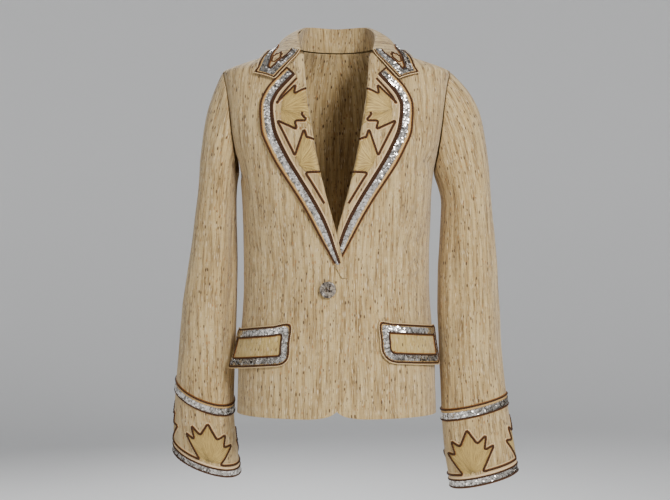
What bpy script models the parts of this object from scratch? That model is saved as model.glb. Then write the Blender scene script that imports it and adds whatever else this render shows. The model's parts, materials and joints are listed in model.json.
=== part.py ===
"""A woman's one-button jacket in its worn, hollow form: slubbed cloth with flared sleeves, a notched collar,
pocket flaps, bands of sequins edged with cord, and a border of leaves in couched cord.

Metres, +Z up. The front faces -Y. The origin is midway between the shoulders, level with the neck's sides.
"Out" is the distance that a layer of cloth stands off the form, along the form's normal.
"""

import math
from bisect import bisect_right
from collections import namedtuple
from functools import lru_cache

import bmesh
import bpy
from mathutils import Vector
from mathutils.bvhtree import BVHTree

# Driving dimensions
CLOTH = 0.0016  # thickness of one layer with its interlining
SEAM = 0.0003  # gap that stands for a seam
HEM = -0.564  # height of the body's hem
BREAK = -0.371  # height where the lapels begin to roll
GORGE = -0.004  # height where the roll line meets the collar
ARMHOLE_TOP = -0.022
ARMHOLE_FOOT = -0.186
NECK_POINT = 0.0172
BUTTON_WIDTH = 0.025
BUTTON_HEIGHT = -0.367
BUTTON_ACROSS = 0.0128
CORD = 0.0024  # width of the couched cord
BAND = 0.0010  # thickness of a sequin band between its cords
BAND_RIM = 0.0018  # its thickness at the cords along its edges
FACET = 0.0004  # how far a trim stays clear of the cloth's flat facets

RIGHT, LEFT = -1.0, 1.0  # the wearer's sides along X

# The form under the cloth, a ring for each height: half its width, and its depth to the front and the back
Ring = namedtuple("Ring", "height half_width front back squareness")
RINGS = [
    Ring(-0.580, 0.1590, 0.1200, 0.1270, 2.35),
    Ring(-0.520, 0.1585, 0.1205, 0.1260, 2.35),
    Ring(-0.450, 0.1545, 0.1185, 0.1170, 2.30),
    Ring(-0.380, 0.1490, 0.1140, 0.1040, 2.30),
    Ring(-0.320, 0.1480, 0.1150, 0.0990, 2.30),
    Ring(-0.260, 0.1500, 0.1220, 0.1020, 2.40),
    Ring(-0.215, 0.1515, 0.1260, 0.1080, 2.50),
    Ring(-0.180, 0.1550, 0.1240, 0.1120, 2.60),
    Ring(-0.140, 0.1660, 0.1170, 0.1140, 2.80),
    Ring(-0.100, 0.1730, 0.1070, 0.1120, 2.90),
    Ring(-0.060, 0.1780, 0.0950, 0.1060, 2.80),
    Ring(-0.022, 0.1815, 0.0810, 0.0960, 2.50),
    Ring(-0.012, 0.1550, 0.0770, 0.0930, 2.30),
    Ring(0.000, 0.1200, 0.0710, 0.0880, 2.10),
    Ring(0.018, 0.0700, 0.0600, 0.0790, 2.00),
    Ring(0.040, 0.0600, 0.0560, 0.0740, 2.00),
]

# The front edge from hem to neck: how far it lies out from the centre, and below zero where it laps past it
Edge = namedtuple("Edge", "height reach")
FRONT_EDGE = [
    Edge(HEM, 0.0380),
    Edge(-0.5610, 0.0140),
    Edge(-0.5550, 0.0030),
    Edge(-0.5470, -0.0060),
    Edge(-0.5300, -0.0135),
    Edge(-0.5050, -0.0170),
    Edge(-0.4700, -0.0198),
    Edge(-0.4300, -0.0205),
    Edge(BREAK, -0.0190),
    Edge(-0.3530, -0.0144),
    Edge(-0.3220, -0.0068),
    Edge(-0.2930, 0.0000),
    Edge(-0.2650, 0.0065),
    Edge(-0.2390, 0.0152),
    Edge(-0.2080, 0.0238),
    Edge(-0.1700, 0.0330),
    Edge(-0.1250, 0.0415),
    Edge(-0.0800, 0.0478),
    Edge(-0.0400, 0.0525),
    Edge(GORGE, 0.0550),
    Edge(0.0080, 0.0620),
    Edge(NECK_POINT, 0.0690),
]

# The lapel's outer edge from the break to the notch
LapelEdge = namedtuple("LapelEdge", "share across height")
LAPEL_EDGE = [
    LapelEdge(0.00, -0.0190, -0.3710),
    LapelEdge(0.12, 0.0035, -0.3270),
    LapelEdge(0.24, 0.0265, -0.2830),
    LapelEdge(0.36, 0.0500, -0.2400),
    LapelEdge(0.48, 0.0770, -0.1990),
    LapelEdge(0.60, 0.1015, -0.1570),
    LapelEdge(0.72, 0.1155, -0.1190),
    LapelEdge(0.82, 0.1170, -0.0880),
    LapelEdge(0.92, 0.1080, -0.0610),
    LapelEdge(1.00, 0.0955, -0.0450),
]

# The collar's half, from the centre back (0) round the neck to the notch (1)
# inner: the fold, and past the roll line's top the gorge seam. outer: the free edge
CollarStation = namedtuple(
    "CollarStation", "share inner_x inner_y inner_z outer_x outer_y outer_z"
)
COLLAR = [
    CollarStation(0.00, 0.0000, 0.0750, 0.0580, 0.0000, 0.0960, 0.0010),
    CollarStation(0.20, 0.0270, 0.0690, 0.0590, 0.0480, 0.0890, 0.0020),
    CollarStation(0.38, 0.0500, 0.0460, 0.0570, 0.0880, 0.0600, 0.0040),
    CollarStation(0.54, 0.0580, 0.0130, 0.0460, 0.1020, 0.0220, 0.0060),
    CollarStation(0.68, 0.0600, -0.0250, 0.0270, 0.1035, -0.0080, 0.0060),
    CollarStation(0.80, 0.0560, -0.0650, 0.0020, 0.1090, -0.0336, 0.0027),
    CollarStation(0.87, 0.0680, -0.0770, -0.0130, 0.1150, -0.0515, -0.0050),
    CollarStation(0.95, 0.0850, -0.0840, -0.0310, 0.1210, -0.0700, -0.0225),
    CollarStation(1.00, 0.0965, -0.0870, -0.0430, 0.1270, -0.0745, -0.0330),
]
STAND_END = 0.78  # share where the stand dies into the roll line

# How far in from the lapel's edge the band of sequins ends, and the leaf border's base line runs
LapelTrim = namedtuple("LapelTrim", "share band leaves")
LAPEL_TRIM = [
    LapelTrim(0.00, 0.0225, 0.0300),
    LapelTrim(0.30, 0.0242, 0.0302),
    LapelTrim(0.52, 0.0266, 0.0308),
    LapelTrim(0.68, 0.0252, 0.0292),
    LapelTrim(0.82, 0.0226, 0.0262),
    LapelTrim(1.00, 0.0218, 0.0258),
]

# The sleeves below the armholes. drop: how much lower the inner side hangs. dip: how much lower the front
SleeveRing = namedtuple("SleeveRing", "height inner outer front back drop dip")
SLEEVE_RINGS = {
    RIGHT: [
        SleeveRing(-0.240, 0.1595, 0.226, -0.052, 0.058, 0.000, 0.000),
        SleeveRing(-0.300, 0.1580, 0.235, -0.047, 0.060, 0.002, 0.001),
        SleeveRing(-0.370, 0.1580, 0.245, -0.042, 0.062, 0.004, 0.002),
        SleeveRing(-0.440, 0.1615, 0.252, -0.035, 0.063, 0.006, 0.004),
        SleeveRing(-0.510, 0.1650, 0.258, -0.024, 0.068, 0.010, 0.008),
        SleeveRing(-0.560, 0.1660, 0.262, -0.012, 0.075, 0.013, 0.011),
        SleeveRing(-0.610, 0.1620, 0.265, 0.004, 0.086, 0.016, 0.013),
        SleeveRing(-0.652, 0.1580, 0.268, 0.019, 0.099, 0.019, 0.014),
    ],
    LEFT: [
        SleeveRing(-0.240, 0.1680, 0.250, -0.054, 0.056, 0.000, 0.000),
        SleeveRing(-0.300, 0.1620, 0.258, -0.050, 0.054, 0.001, 0.000),
        SleeveRing(-0.370, 0.1600, 0.261, -0.046, 0.052, 0.003, 0.000),
        SleeveRing(-0.440, 0.1625, 0.262, -0.044, 0.050, 0.005, 0.000),
        SleeveRing(-0.510, 0.1660, 0.268, -0.042, 0.048, 0.008, 0.000),
        SleeveRing(-0.560, 0.1675, 0.274, -0.041, 0.047, 0.010, 0.001),
        SleeveRing(-0.610, 0.1720, 0.281, -0.040, 0.046, 0.012, 0.002),
        SleeveRing(-0.672, 0.1820, 0.290, -0.039, 0.045, 0.013, 0.003),
    ],
}
CAP_REACH = {RIGHT: Vector((0.50, 0, -0.87)), LEFT: Vector((0.85, 0, -0.52))}
ARMHOLE_FRONT, ARMHOLE_BACK = 0.21, 0.22  # the armhole's depth in shares of a quarter of the ring
SLEEVE_SIDES = 28  # flat facets round a sleeve
UNDER_SLEEVE = (10, 18)  # facets at the under sleeve's seams, counted round the front from the outer side
LEAVES_A_SLEEVE = 3
LEAF_MIDDLE = {RIGHT: 0.086, LEFT: 0.096}  # arc from the sleeve's outer side, round its front, to a leaf's middle
CUFF_LEAF_WIDE, CUFF_LEAF_TALL = 1.15, 1.21  # a cuff's leaf in shares of the leaf below
LEAF_FOOT = 0.021  # the leaf border's base line above the hem, along the sleeve
CUFF_BANDS = {"hem": (0.0012, 0.0170), "upper": (0.1080, 0.1260)}  # lower and upper edge above the hem

# One half of a leaf, from its foot to its tip: across from its middle, and up from the base line
LeafCorner = namedtuple("LeafCorner", "across up")
LEAF = [
    LeafCorner(0.0140, 0.0000),
    LeafCorner(0.0345, 0.0300),
    LeafCorner(0.0210, 0.0270),
    LeafCorner(0.0250, 0.0450),
    LeafCorner(0.0120, 0.0370),
    LeafCorner(0.0000, 0.0570),
]

# Pocket flaps. start: arc from the centre to the flap's front end. slant: how much lower its side end lies
Flap = namedtuple("Flap", "start width top height slant corner kick")
FLAPS = {
    RIGHT: Flap(0.0700, 0.136, -0.4190, 0.064, 0.013, 0.018, 0.011),
    LEFT: Flap(0.0660, 0.136, -0.4160, 0.063, 0.010, 0.024, 0.003),
}


class Curve:
    """A smooth curve through one column of a table, read at any value of the table's first column.
    It never swings past its rows."""

    def __init__(self, table, column):
        self.at = [row[0] for row in table]
        self.value = [getattr(row, column) for row in table]
        steps = [b - a for a, b in zip(self.at, self.at[1:])]
        rises = [(b - a) / h for a, b, h in zip(self.value, self.value[1:], steps)]
        self.slope = [rises[0]]
        for (a, b), (h, k) in zip(zip(rises, rises[1:]), zip(steps, steps[1:])):
            if a * b <= 0:
                self.slope.append(0.0)
            else:
                self.slope.append(3 * (h + k) / ((2 * k + h) / a + (k + 2 * h) / b))
        self.slope.append(rises[-1])

    def __call__(self, at):
        i = min(max(bisect_right(self.at, at) - 1, 0), len(self.at) - 2)
        step = self.at[i + 1] - self.at[i]
        t = (at - self.at[i]) / step
        if t < 0:
            return self.value[0] + self.slope[0] * t * step
        if t > 1:
            return self.value[-1] + self.slope[-1] * (t - 1) * step
        u = 1 - t
        start, end = self.value[i], self.value[i + 1]
        lean_in, lean_out = self.slope[i] * step, self.slope[i + 1] * step
        return (
            u * u * (1 + 2 * t) * start
            + t * t * (3 - 2 * t) * end
            + u * u * t * lean_in
            - t * t * u * lean_out
        )


def curves(table):
    return {column: Curve(table, column) for column in table[0]._fields[1:]}


FORM = curves(RINGS)
EDGE = curves(FRONT_EDGE)["reach"]
LAPEL = curves(LAPEL_EDGE)
TRIM = curves(LAPEL_TRIM)
COLLAR_CURVES = curves(COLLAR)
SLEEVES = {side: curves(rows[::-1]) for side, rows in SLEEVE_RINGS.items()}


def ease(t):
    """A smooth step from 0 to 1."""
    t = min(max(t, 0.0), 1.0)
    return t * t * (3 - 2 * t)


def mix(a, b, t):
    return a + (b - a) * t


# The form


@lru_cache(maxsize=None)
def quarter(height, back):
    """One quarter of a ring, from its centre to its side: points and their arc lengths."""
    wide = FORM["half_width"](height)
    deep = FORM["back" if back else "front"](height)
    power = 2 / FORM["squareness"](height)
    steps = 72
    xs, ys, arcs = [], [], [0.0]
    for i in range(steps + 1):
        turn = math.pi / 2 * i / steps
        xs.append(wide * math.sin(turn) ** power)
        ys.append((deep if back else -deep) * max(math.cos(turn), 0.0) ** power)
        if i:
            arcs.append(arcs[-1] + math.hypot(xs[i] - xs[i - 1], ys[i] - ys[i - 1]))
    return xs, ys, arcs


def read(keys, values, at):
    """Reads values at a key between two rows."""
    i = min(max(bisect_right(keys, at) - 1, 0), len(keys) - 2)
    gap = keys[i + 1] - keys[i]
    return mix(values[i], values[i + 1], (at - keys[i]) / gap if gap else 0.0)


def form_point(side, turn, height):
    """A point of the form. turn is 0 at the centre front, 1 at the side and 2 at the centre back."""
    back = turn > 1
    xs, ys, arcs = quarter(round(height, 6), back)
    share = 2 - turn if back else turn
    arc = abs(share) * arcs[-1]
    x = math.copysign(read(arcs, xs, arc), share)
    return Vector((side * x, read(arcs, ys, arc), height))


def turn_at(height, across):
    """The turn of a front point that lies this far out from the centre."""
    xs, _, arcs = quarter(round(height, 6), False)
    return math.copysign(read(xs, arcs, abs(across)) / arcs[-1], across)


def form_value(point):
    """Below 0 inside the form, above 0 outside it."""
    wide = FORM["half_width"](point.z)
    deep = FORM["front" if point.y < 0 else "back"](point.z)
    power = FORM["squareness"](point.z)
    total = (abs(point.x) / wide) ** power + (abs(point.y) / deep) ** power
    return total ** (1 / power) - 1


def form_slope(point):
    step = 0.0004
    return Vector(
        (form_value(point + axis * step) - form_value(point - axis * step)) / (2 * step)
        for axis in (Vector((1, 0, 0)), Vector((0, 1, 0)), Vector((0, 0, 1)))
    )


def stand_off(point, out):
    """Moves a point along the form's normal until it stands this far out."""
    for _ in range(5):
        slope = form_slope(point)
        away = form_value(point) / slope.length
        point = point + slope.normalized() * (out - away)
    return point


def on_front(side, across, height, out):
    """The point of the front, this far out from the centre and at this height, raised off the form."""
    turn = turn_at(height, across)
    base = form_point(side, turn, height)
    return base + form_slope(base).normalized() * out


LAP_EDGE = 0.022  # how far out from the centre the lap stands off in full
LAP_EASE = 0.060  # the width in which it comes back to the form
LAP_OVER_FRONT = 0.0024  # how far it stands off over the left front
LAP_OVER_LAPEL = 0.0078  # and over the left lapel
LAPEL_FOOT = -0.415  # below this height there is no lapel under the lap
LAPEL_FOOT_EASE = 0.040
LAP_TOP = -0.278  # the lap ends from this height up
LAP_TOP_EASE = 0.100


def lap(side, across, height):
    """How far the right front stands off where it laps over the left one and its lapel."""
    if side == LEFT:
        return 0.0
    near = 1 - ease((across - LAP_EDGE) / LAP_EASE)
    thick = mix(LAP_OVER_FRONT, LAP_OVER_LAPEL, ease((height - LAPEL_FOOT) / LAPEL_FOOT_EASE))
    thick *= 1 - ease((height - LAP_TOP) / LAP_TOP_EASE)
    return near * thick


# Walls from grids of points


def make_object(name, points, faces, material, smooth=True):
    mesh = bpy.data.meshes.new(name)
    mesh.from_pydata([tuple(p) for p in points], [], faces)
    mesh.validate()
    if smooth:
        mesh.shade_smooth()
        mesh.set_sharp_from_angle(angle=math.radians(50))
    mesh.materials.append(material)
    made = bpy.data.objects.new(name, mesh)
    bpy.context.scene.collection.objects.link(made)
    return made


def wall(name, grid, thickness, material, closed=False):
    """A closed wall from rows of (point, normal) on its middle surface. Closed rows join end to end."""
    half = thickness / 2
    rows, columns = len(grid), len(grid[0])
    outer = [point + normal * half for row in grid for point, normal in row]
    inner = [point - normal * half for row in grid for point, normal in row]
    count = rows * columns
    faces = []

    def quad(a, b, c, d):
        faces.append((a, b, c, d))

    spans = columns if closed else columns - 1
    for r in range(rows - 1):
        for c in range(spans):
            a, b = r * columns + c, r * columns + (c + 1) % columns
            quad(a, b, b + columns, a + columns)
            quad(a + count, a + columns + count, b + columns + count, b + count)
    top = (rows - 1) * columns
    for c in range(spans):
        b = (c + 1) % columns
        quad(c, c + count, b + count, b)
        quad(top + c, top + b, top + b + count, top + c + count)
    if not closed:
        for r in range(rows - 1):
            a, z = r * columns, r * columns + columns - 1
            quad(a, a + columns, a + columns + count, a + count)
            quad(z, z + count, z + columns + count, z + columns)
    return face_out(make_object(name, outer + inner, faces, material))


def face_out(made):
    """Turns every face outwards."""
    mesh = made.data
    work = bmesh.new()
    work.from_mesh(mesh)
    bmesh.ops.recalc_face_normals(work, faces=work.faces)
    if work.calc_volume(signed=True) < 0:
        bmesh.ops.reverse_faces(work, faces=work.faces)
    work.to_mesh(mesh)
    work.free()
    return made


def surface_row(surface, params, flip):
    """Points and normals of a surface, which is a function of two parameters."""
    step = 2e-4
    row = []
    for u, v in params:
        along_u = surface(u + step, v) - surface(u - step, v)
        along_v = surface(u, v + step) - surface(u, v - step)
        normal = along_u.cross(along_v).normalized() * flip
        row.append((surface(u, v), normal))
    return row


# Fronts and backs

ARMHOLE_MIDDLE = (ARMHOLE_TOP + ARMHOLE_FOOT) / 2
ARMHOLE_REACH = (ARMHOLE_TOP - ARMHOLE_FOOT) / 2
ARMHOLE_STEPS = 7
PANEL_COLUMNS = 10
HEM_ROWS = [HEM, -0.561, -0.555, -0.546, -0.524, -0.492, -0.460, -0.430, -0.400]
WAIST_ROWS = [-0.371, -0.340, -0.308, -0.278, -0.248, -0.217]
ARMHOLE_ROWS = [
    ARMHOLE_MIDDLE - ARMHOLE_REACH * math.cos(math.pi * i / ARMHOLE_STEPS)
    for i in range(ARMHOLE_STEPS + 1)
]
SHOULDER_ROWS = [-0.013, -0.003, 0.008, NECK_POINT]
PANEL_ROWS = HEM_ROWS + WAIST_ROWS + ARMHOLE_ROWS + SHOULDER_ROWS
SEAM_SHARE = 0.0008  # half a seam, in shares of a quarter of the ring


def armhole_share(height):
    """How far the armhole's edge lies from the side, from 0 at its ends to 1 at its middle."""
    level = (height - ARMHOLE_MIDDLE) / ARMHOLE_REACH
    return math.sqrt(max(0.0, 1 - level * level))


def front_surface(side):
    def at(turn, height):
        base = form_point(side, turn, height)
        return base + form_slope(base).normalized() * (
            lap(side, side * base.x, height) - CLOTH / 2
        )

    return at


def front_turn(height, column):
    """The turn of one of the front's columns, from its edge to the side seam or the armhole."""
    start = turn_at(height, EDGE(height))
    end = 1 - ARMHOLE_FRONT * armhole_share(height) - SEAM_SHARE
    return mix(start, end, column / (PANEL_COLUMNS - 1))


def make_front(side, name, material):
    surface = front_surface(side)
    grid = []
    for height in PANEL_ROWS:
        params = [(front_turn(height, c), height) for c in range(PANEL_COLUMNS)]
        grid.append(surface_row(surface, params, side))
    return wall(name, grid, CLOTH, material)


def make_back(side, name, material):
    columns = 8
    surface = front_surface(side)
    heights = [h for h in PANEL_ROWS if h not in (-0.561, -0.555, -0.371)]
    grid = []
    for height in heights:
        start = 1 + ARMHOLE_BACK * armhole_share(height) + SEAM_SHARE
        end = 2 - SEAM_SHARE
        params = [(mix(start, end, c / (columns - 1)), height) for c in range(columns)]
        grid.append(surface_row(surface, params, side))
    return wall(name, grid, CLOTH, material)


# Sleeves


def armhole_point(side, round_angle):
    """The armhole's edge, straight between the panels' rows. round_angle is 0 at the shoulder tip, a quarter
    turn at the front and half a turn below."""
    step = math.pi / ARMHOLE_STEPS
    before = math.floor(round_angle / step + 1e-9)
    start, end = armhole_corner(side, before * step), armhole_corner(side, (before + 1) * step)
    return start.lerp(end, round_angle / step - before)


def armhole_corner(side, round_angle):
    height = ARMHOLE_MIDDLE + ARMHOLE_REACH * math.cos(round_angle)
    toward_front = math.sin(round_angle)
    reach = ARMHOLE_FRONT if toward_front > 0 else ARMHOLE_BACK
    base = form_point(side, 1 - reach * toward_front, height)
    slope = form_slope(base).normalized()
    top = (1 + math.cos(round_angle)) / 2
    clear = SEAM * 2 + CLOTH * mix(1.25, 0.60, top)
    return base - slope * (CLOTH / 2) + Vector((side * clear, 0, 0))


def sleeve_ring_point(side, round_angle, height):
    ring = SLEEVES[side]
    middle_x = (ring["inner"](height) + ring["outer"](height)) / 2
    half_x = (ring["outer"](height) - ring["inner"](height)) / 2 - CLOTH / 2
    middle_y = (ring["front"](height) + ring["back"](height)) / 2
    half_y = (ring["back"](height) - ring["front"](height)) / 2 - CLOTH / 2
    across, forward = math.cos(round_angle), math.sin(round_angle)
    return Vector(
        (
            side * (middle_x + half_x * across),
            middle_y - half_y * forward,
            height + ring["drop"](height) * across - ring["dip"](height) * forward,
        )
    )


CAP_END = -0.240  # height where the sleeve's cap has become a plain tube


def sleeve_surface(side):
    """The sleeve's middle surface. along runs down the cap from 0 to 1, and down the tube to 2 at the hem."""
    hem = SLEEVE_RINGS[side][-1].height

    def at(round_angle, along):
        if along >= 1:
            return sleeve_ring_point(side, round_angle, mix(CAP_END, hem, along - 1))
        start = armhole_point(side, round_angle)
        end = sleeve_ring_point(side, round_angle, CAP_END)
        below = sleeve_ring_point(side, round_angle, CAP_END - 0.01)
        reach = (end - start).length * 0.36
        top = (1 + math.cos(round_angle)) / 2
        hang = Vector((0.22, 0, -0.97))
        leave = (hang * (1 - top) + CAP_REACH[side] * top).normalized()
        leave.x *= side
        first = start + leave * reach
        last = end - (below - end).normalized() * reach
        back = 1 - along
        return (
            start * back**3
            + first * (3 * back * back * along)
            + last * (3 * back * along * along)
            + end * along**3
        )

    return at


CAP_ROWS = [0.0, 0.2, 0.42, 0.7, 1.0]
TUBE_ROWS = [0.340, 0.270, 0.200, 0.1265, 0.1075, 0.078, 0.048, 0.0175, 0.0]  # distances up from the hem
FACET_ANGLE = math.tau / SLEEVE_SIDES


def make_sleeve_half(side, name, first, last, material):
    """A sleeve's half between two seams, which are given as counts of facets round the sleeve."""
    surface = sleeve_surface(side)
    facets = range(first, last + 1)
    rows = [[(FACET_ANGLE * facet, along) for facet in facets] for along in CAP_ROWS]
    for up in TUBE_ROWS:
        angles = [FACET_ANGLE * facet for facet in facets]
        rows.append([(angle, sleeve_along(side, angle, up)) for angle in angles])
    grid = [surface_row(surface, row, side) for row in rows]
    for row in grid:
        for end, beside in ((0, 1), (-1, -2)):
            point, normal = row[end]
            inward = (row[beside][0] - point).normalized()
            row[end] = (point + inward * SEAM / 2, normal)
    return wall(name, grid, CLOTH, material)


def sleeve_along(side, angle, up):
    """The along value at a distance up from the hem."""
    facet = math.floor(angle / FACET_ANGLE + 1e-9)
    before = read(*sleeve_length_table(side, facet % SLEEVE_SIDES), up)
    after = read(*sleeve_length_table(side, (facet + 1) % SLEEVE_SIDES), up)
    return mix(before, after, angle / FACET_ANGLE - facet)


@lru_cache(maxsize=None)
def sleeve_length_table(side, facet):
    """Lengths up from the hem at one of the sleeve's facets, and the matching along values."""
    surface = sleeve_surface(side)
    angle = FACET_ANGLE * facet
    alongs = [2 - i * 0.02 for i in range(60)]
    lengths = [0.0]
    for a, b in zip(alongs, alongs[1:]):
        lengths.append(lengths[-1] + (surface(angle, b) - surface(angle, a)).length)
    return lengths, alongs


@lru_cache(maxsize=None)
def sleeve_round_table(side):
    """Angles round the sleeve and the arc lengths to them, measured at the leaf border."""
    surface = sleeve_surface(side)
    angles = [math.radians(3 * i) for i in range(121)]
    points = [surface(a, 1.86) for a in angles]
    arcs = [0.0]
    for a, b in zip(points, points[1:]):
        arcs.append(arcs[-1] + (b - a).length)
    return angles, arcs


def on_sleeve(side, angle, up):
    """A point and normal on a sleeve's face, at an angle round it and a distance up from the hem."""
    along = sleeve_along(side, angle, up)
    (point, normal), = surface_row(sleeve_surface(side), [(angle, along)], side)
    return point + normal * CLOTH / 2, normal


# Lapels

LAPEL_BAND_EDGE = 0.0012  # from the lapel's edge to the band's outer edge
# The band's upper stations, from the notch
LAPEL_BAND_TURN = (-0.070, -0.055, -0.040, -0.026, -0.012, 0.001, 0.014, 0.026)
LAPEL_FLAT = 0.0015  # clearance between a lapel's outer part and the front
ROLL = 0.0030  # radius of the fold


def lapel_out(width_share, share, width):
    """How far a lapel's inner face stands off the front, across from its roll (0) to its edge (1).
    It is pressed flat by the break, where the fronts lap."""
    roll_height = mix(LAPEL_FLAT, 2 * ROLL, ease((share - 0.27) / 0.25))
    return mix(roll_height, LAPEL_FLAT, ease(width_share * width / 0.030))


def roll_point(share):
    """Across and height of the roll line, from the break (0) to the gorge (1)."""
    height = mix(BREAK, GORGE, share)
    return EDGE(height), height


def lapel_surface(side):
    """A lapel's middle surface: share runs up it from the break, width_share across it from the roll."""

    def at(width_share, share):
        roll_x, roll_z = roll_point(share)
        edge_x, edge_z = LAPEL["across"](share), LAPEL["height"](share)
        across = mix(roll_x, edge_x, width_share)
        height = mix(roll_z, edge_z, width_share)
        width = math.hypot(edge_x - roll_x, edge_z - roll_z)
        out = lap(side, across, height) + lapel_out(width_share, share, width) + CLOTH / 2
        return on_front(side, across, height, out)

    return at


LAPEL_SHARES = [0.06, 0.12, 0.18, 0.25, 0.32, 0.40, 0.48, 0.55, 0.62, 0.69, 0.76, 0.82, 0.88, 0.94, 0.99]


def lapel_band_shares(share):
    """Where the sequin band's inner and outer edges lie across the lapel."""
    roll_x, roll_z = roll_point(share)
    width = math.hypot(LAPEL["across"](share) - roll_x, LAPEL["height"](share) - roll_z)
    return max(1 - TRIM["band"](share) / width, 0.15), 1 - LAPEL_BAND_EDGE / width


def make_lapel(side, name, material):
    surface = lapel_surface(side)
    grid = []
    for share in LAPEL_SHARES:
        inner, _ = lapel_band_shares(share)
        widths = [inner * part for part in (0.0, 0.16, 0.36, 0.66, 1.0)] + [1.0]
        flat = surface_row(surface, [(w, share) for w in widths], side)
        roll_x, roll_z = roll_point(share)
        face, face_normal = flat[0]
        under = on_front(side, roll_x - SEAM * 2, roll_z, lap(side, roll_x, roll_z) - CLOTH / 2)
        middle = (face + under) / 2
        radius = (face - under).length / 2
        inward = Vector((-side, 0, 0))
        inward = (inward - face_normal * inward.dot(face_normal)).normalized()
        fold = []
        for angle in (0, 45, 90, 135):
            turned = math.radians(angle)
            spoke = inward * math.sin(turned) + (under - middle).normalized() * math.cos(turned)
            fold.append((middle + spoke * radius, spoke))
        grid.append(fold + flat)
    return wall(name, grid, CLOTH, material)


# Collar

COLLAR_WIDTHS = [0.0, 0.12, 0.27, 0.51, 0.75, 0.88, 1.0]
COLLAR_SHARES = [0.0, 0.1, 0.2, 0.3, 0.4, 0.5, 0.6, 0.68, 0.75, 0.80, 0.84, 0.88, 0.92, 0.96, 1.0]


def mirrored(rows):
    """Rows of one half, and before them the same rows on the other side."""
    other = [
        [(Vector((-p.x, p.y, p.z)), Vector((-n.x, n.y, n.z))) for p, n in row]
        for row in rows[:0:-1]
    ]
    return other + rows


def collar_fall_point(share, width_share):
    """The fall's middle surface on the left side."""
    read_at = {name: curve(share) for name, curve in COLLAR_CURVES.items()}
    inner = Vector((read_at["inner_x"], read_at["inner_y"], read_at["inner_z"]))
    outer = Vector((read_at["outer_x"], read_at["outer_y"], read_at["outer_z"]))
    clear_edge = mix(0.0030, 0.0022, ease((share - 0.6) / 0.3))
    outer = stand_off(outer, clear_edge + CLOTH / 2)
    seated = ease((share - 0.74) / 0.10)
    if seated > 0:
        inner = inner.lerp(stand_off(inner, 0.0022 + CLOTH / 2), seated)
    point = inner.lerp(outer, width_share)
    swell = math.sin(math.pi * min(max(width_share * 1.15, 0.0), 1.0) ** 0.8)
    away = form_slope(point).normalized()
    point = point + away * swell * mix(0.010, 0.0022, ease((share - 0.60) / 0.16))
    slope = form_slope(point)
    height = form_value(point) / slope.length
    least = mix(clear_edge, 0.0030, swell) + CLOTH / 2
    if height < least:
        point = point + slope.normalized() * (least - height)
    return point


def collar_fall_surface(width_share, share):
    """The fall's surface for both sides: share is negative on the right."""
    point = collar_fall_point(abs(share), width_share)
    if share < 0:
        point.x = -point.x
    return point


def make_collar_fall(name, material):
    rows = []
    for share in COLLAR_SHARES:
        places = [(width_share, share) for width_share in COLLAR_WIDTHS]
        rows.append(surface_row(collar_fall_surface, places, -1))
    return wall(name, mirrored(rows), CLOTH, material)


def neck_seam_point(share):
    """The neckline that the stand is sewn to, on the left, from the centre back (0) to the roll's top."""
    turn = 2 - share / 0.56
    if turn > 1:
        return form_point(LEFT, turn, NECK_POINT)
    height = mix(NECK_POINT, GORGE, (share - 0.56) / (STAND_END - 0.56))
    return form_point(LEFT, turn_at(height, EDGE(height)), height)


def collar_stand_point(share, up_share):
    low = neck_seam_point(abs(share))
    top = collar_fall_point(abs(share), 0.0)
    inward = Vector((-low.x, 0.010 - low.y, 0)).normalized()
    short = ease((STAND_END - abs(share)) / 0.15)
    low = low + Vector((0, 0, SEAM + CLOTH * 0.6)) + inward * 0.0030
    top = top + inward * mix(0.0021, 0.0025, short) - Vector((0, 0, 0.0008))
    point = low.lerp(top, up_share)
    if share < 0:
        point.x = -point.x
    return point


def make_collar_stand(name, material):
    shares = [0.0, 0.1, 0.2, 0.3, 0.4, 0.5, 0.6, 0.68, 0.74]

    def surface(up_share, share):
        return collar_stand_point(share, up_share)

    rows = [surface_row(surface, [(u, s) for u in (0.0, 0.33, 0.67, 1.0)], -1) for s in shares]
    return wall(name, mirrored(rows), CLOTH, material)


# Pocket flaps


def flap_bottom(flap, along):
    """The flap's depth at a distance along it, less where its lower corners round off."""
    depth = flap.height
    for from_end, radius in ((along, flap.corner), (flap.width - along, flap.corner * 0.6)):
        if from_end < radius:
            short = radius - from_end
            depth = min(depth, flap.height - radius + math.sqrt(radius * radius - short * short))
    return depth


def flap_quarter(flap):
    """The length of the form's front quarter at a flap's middle height."""
    _, _, arcs = quarter(round(flap.top - (flap.slant + flap.height) / 2, 6), False)
    return arcs[-1]


def on_flap(side, along, down):
    """A point of a flap's middle surface: along it from its front end, and down from its top."""
    flap = FLAPS[side]
    height = flap.top - flap.slant * along / flap.width - down
    turn = (flap.start + along) / flap_quarter(flap)
    share = max(down, 0.0) / flap.height
    kick = flap.kick * ease((along / flap.width - 0.55) / 0.45) * share**1.5
    lift = SEAM + CLOTH / 2 + 0.0016 * share + kick
    base = form_point(side, turn, height)
    slope = form_slope(base).normalized()
    return base + slope * (lap(side, side * base.x, height) + lift)


def flap_surface(side):
    def at(along, down):
        return on_flap(side, along, down)

    return at


def make_flap(side, name, material):
    flap = FLAPS[side]
    surface = flap_surface(side)
    ends = (0.0, 0.12, 0.45)
    alongs = [flap.corner * e for e in ends] + flap_columns(side)
    alongs += [flap.width - flap.corner * 0.6 * e for e in ends[::-1]]
    grid = [
        surface_row(
            surface,
            [(along, flap_bottom(flap, along) * d / 4) for d in range(5)],
            -side,
        )
        for along in alongs
    ]
    return wall(name, grid, CLOTH, material)


def flap_columns(side):
    """Distances along a flap that lie over the front's own columns, between the flap's rounded corners."""
    flap = FLAPS[side]
    height = flap.top - flap.slant / 2 - flap.height / 2
    over = [front_turn(height, c / 2) * flap_quarter(flap) - flap.start for c in range(2 * PANEL_COLUMNS)]
    return [along for along in over if flap.corner * 0.7 < along < flap.width - flap.corner * 0.4]


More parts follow.
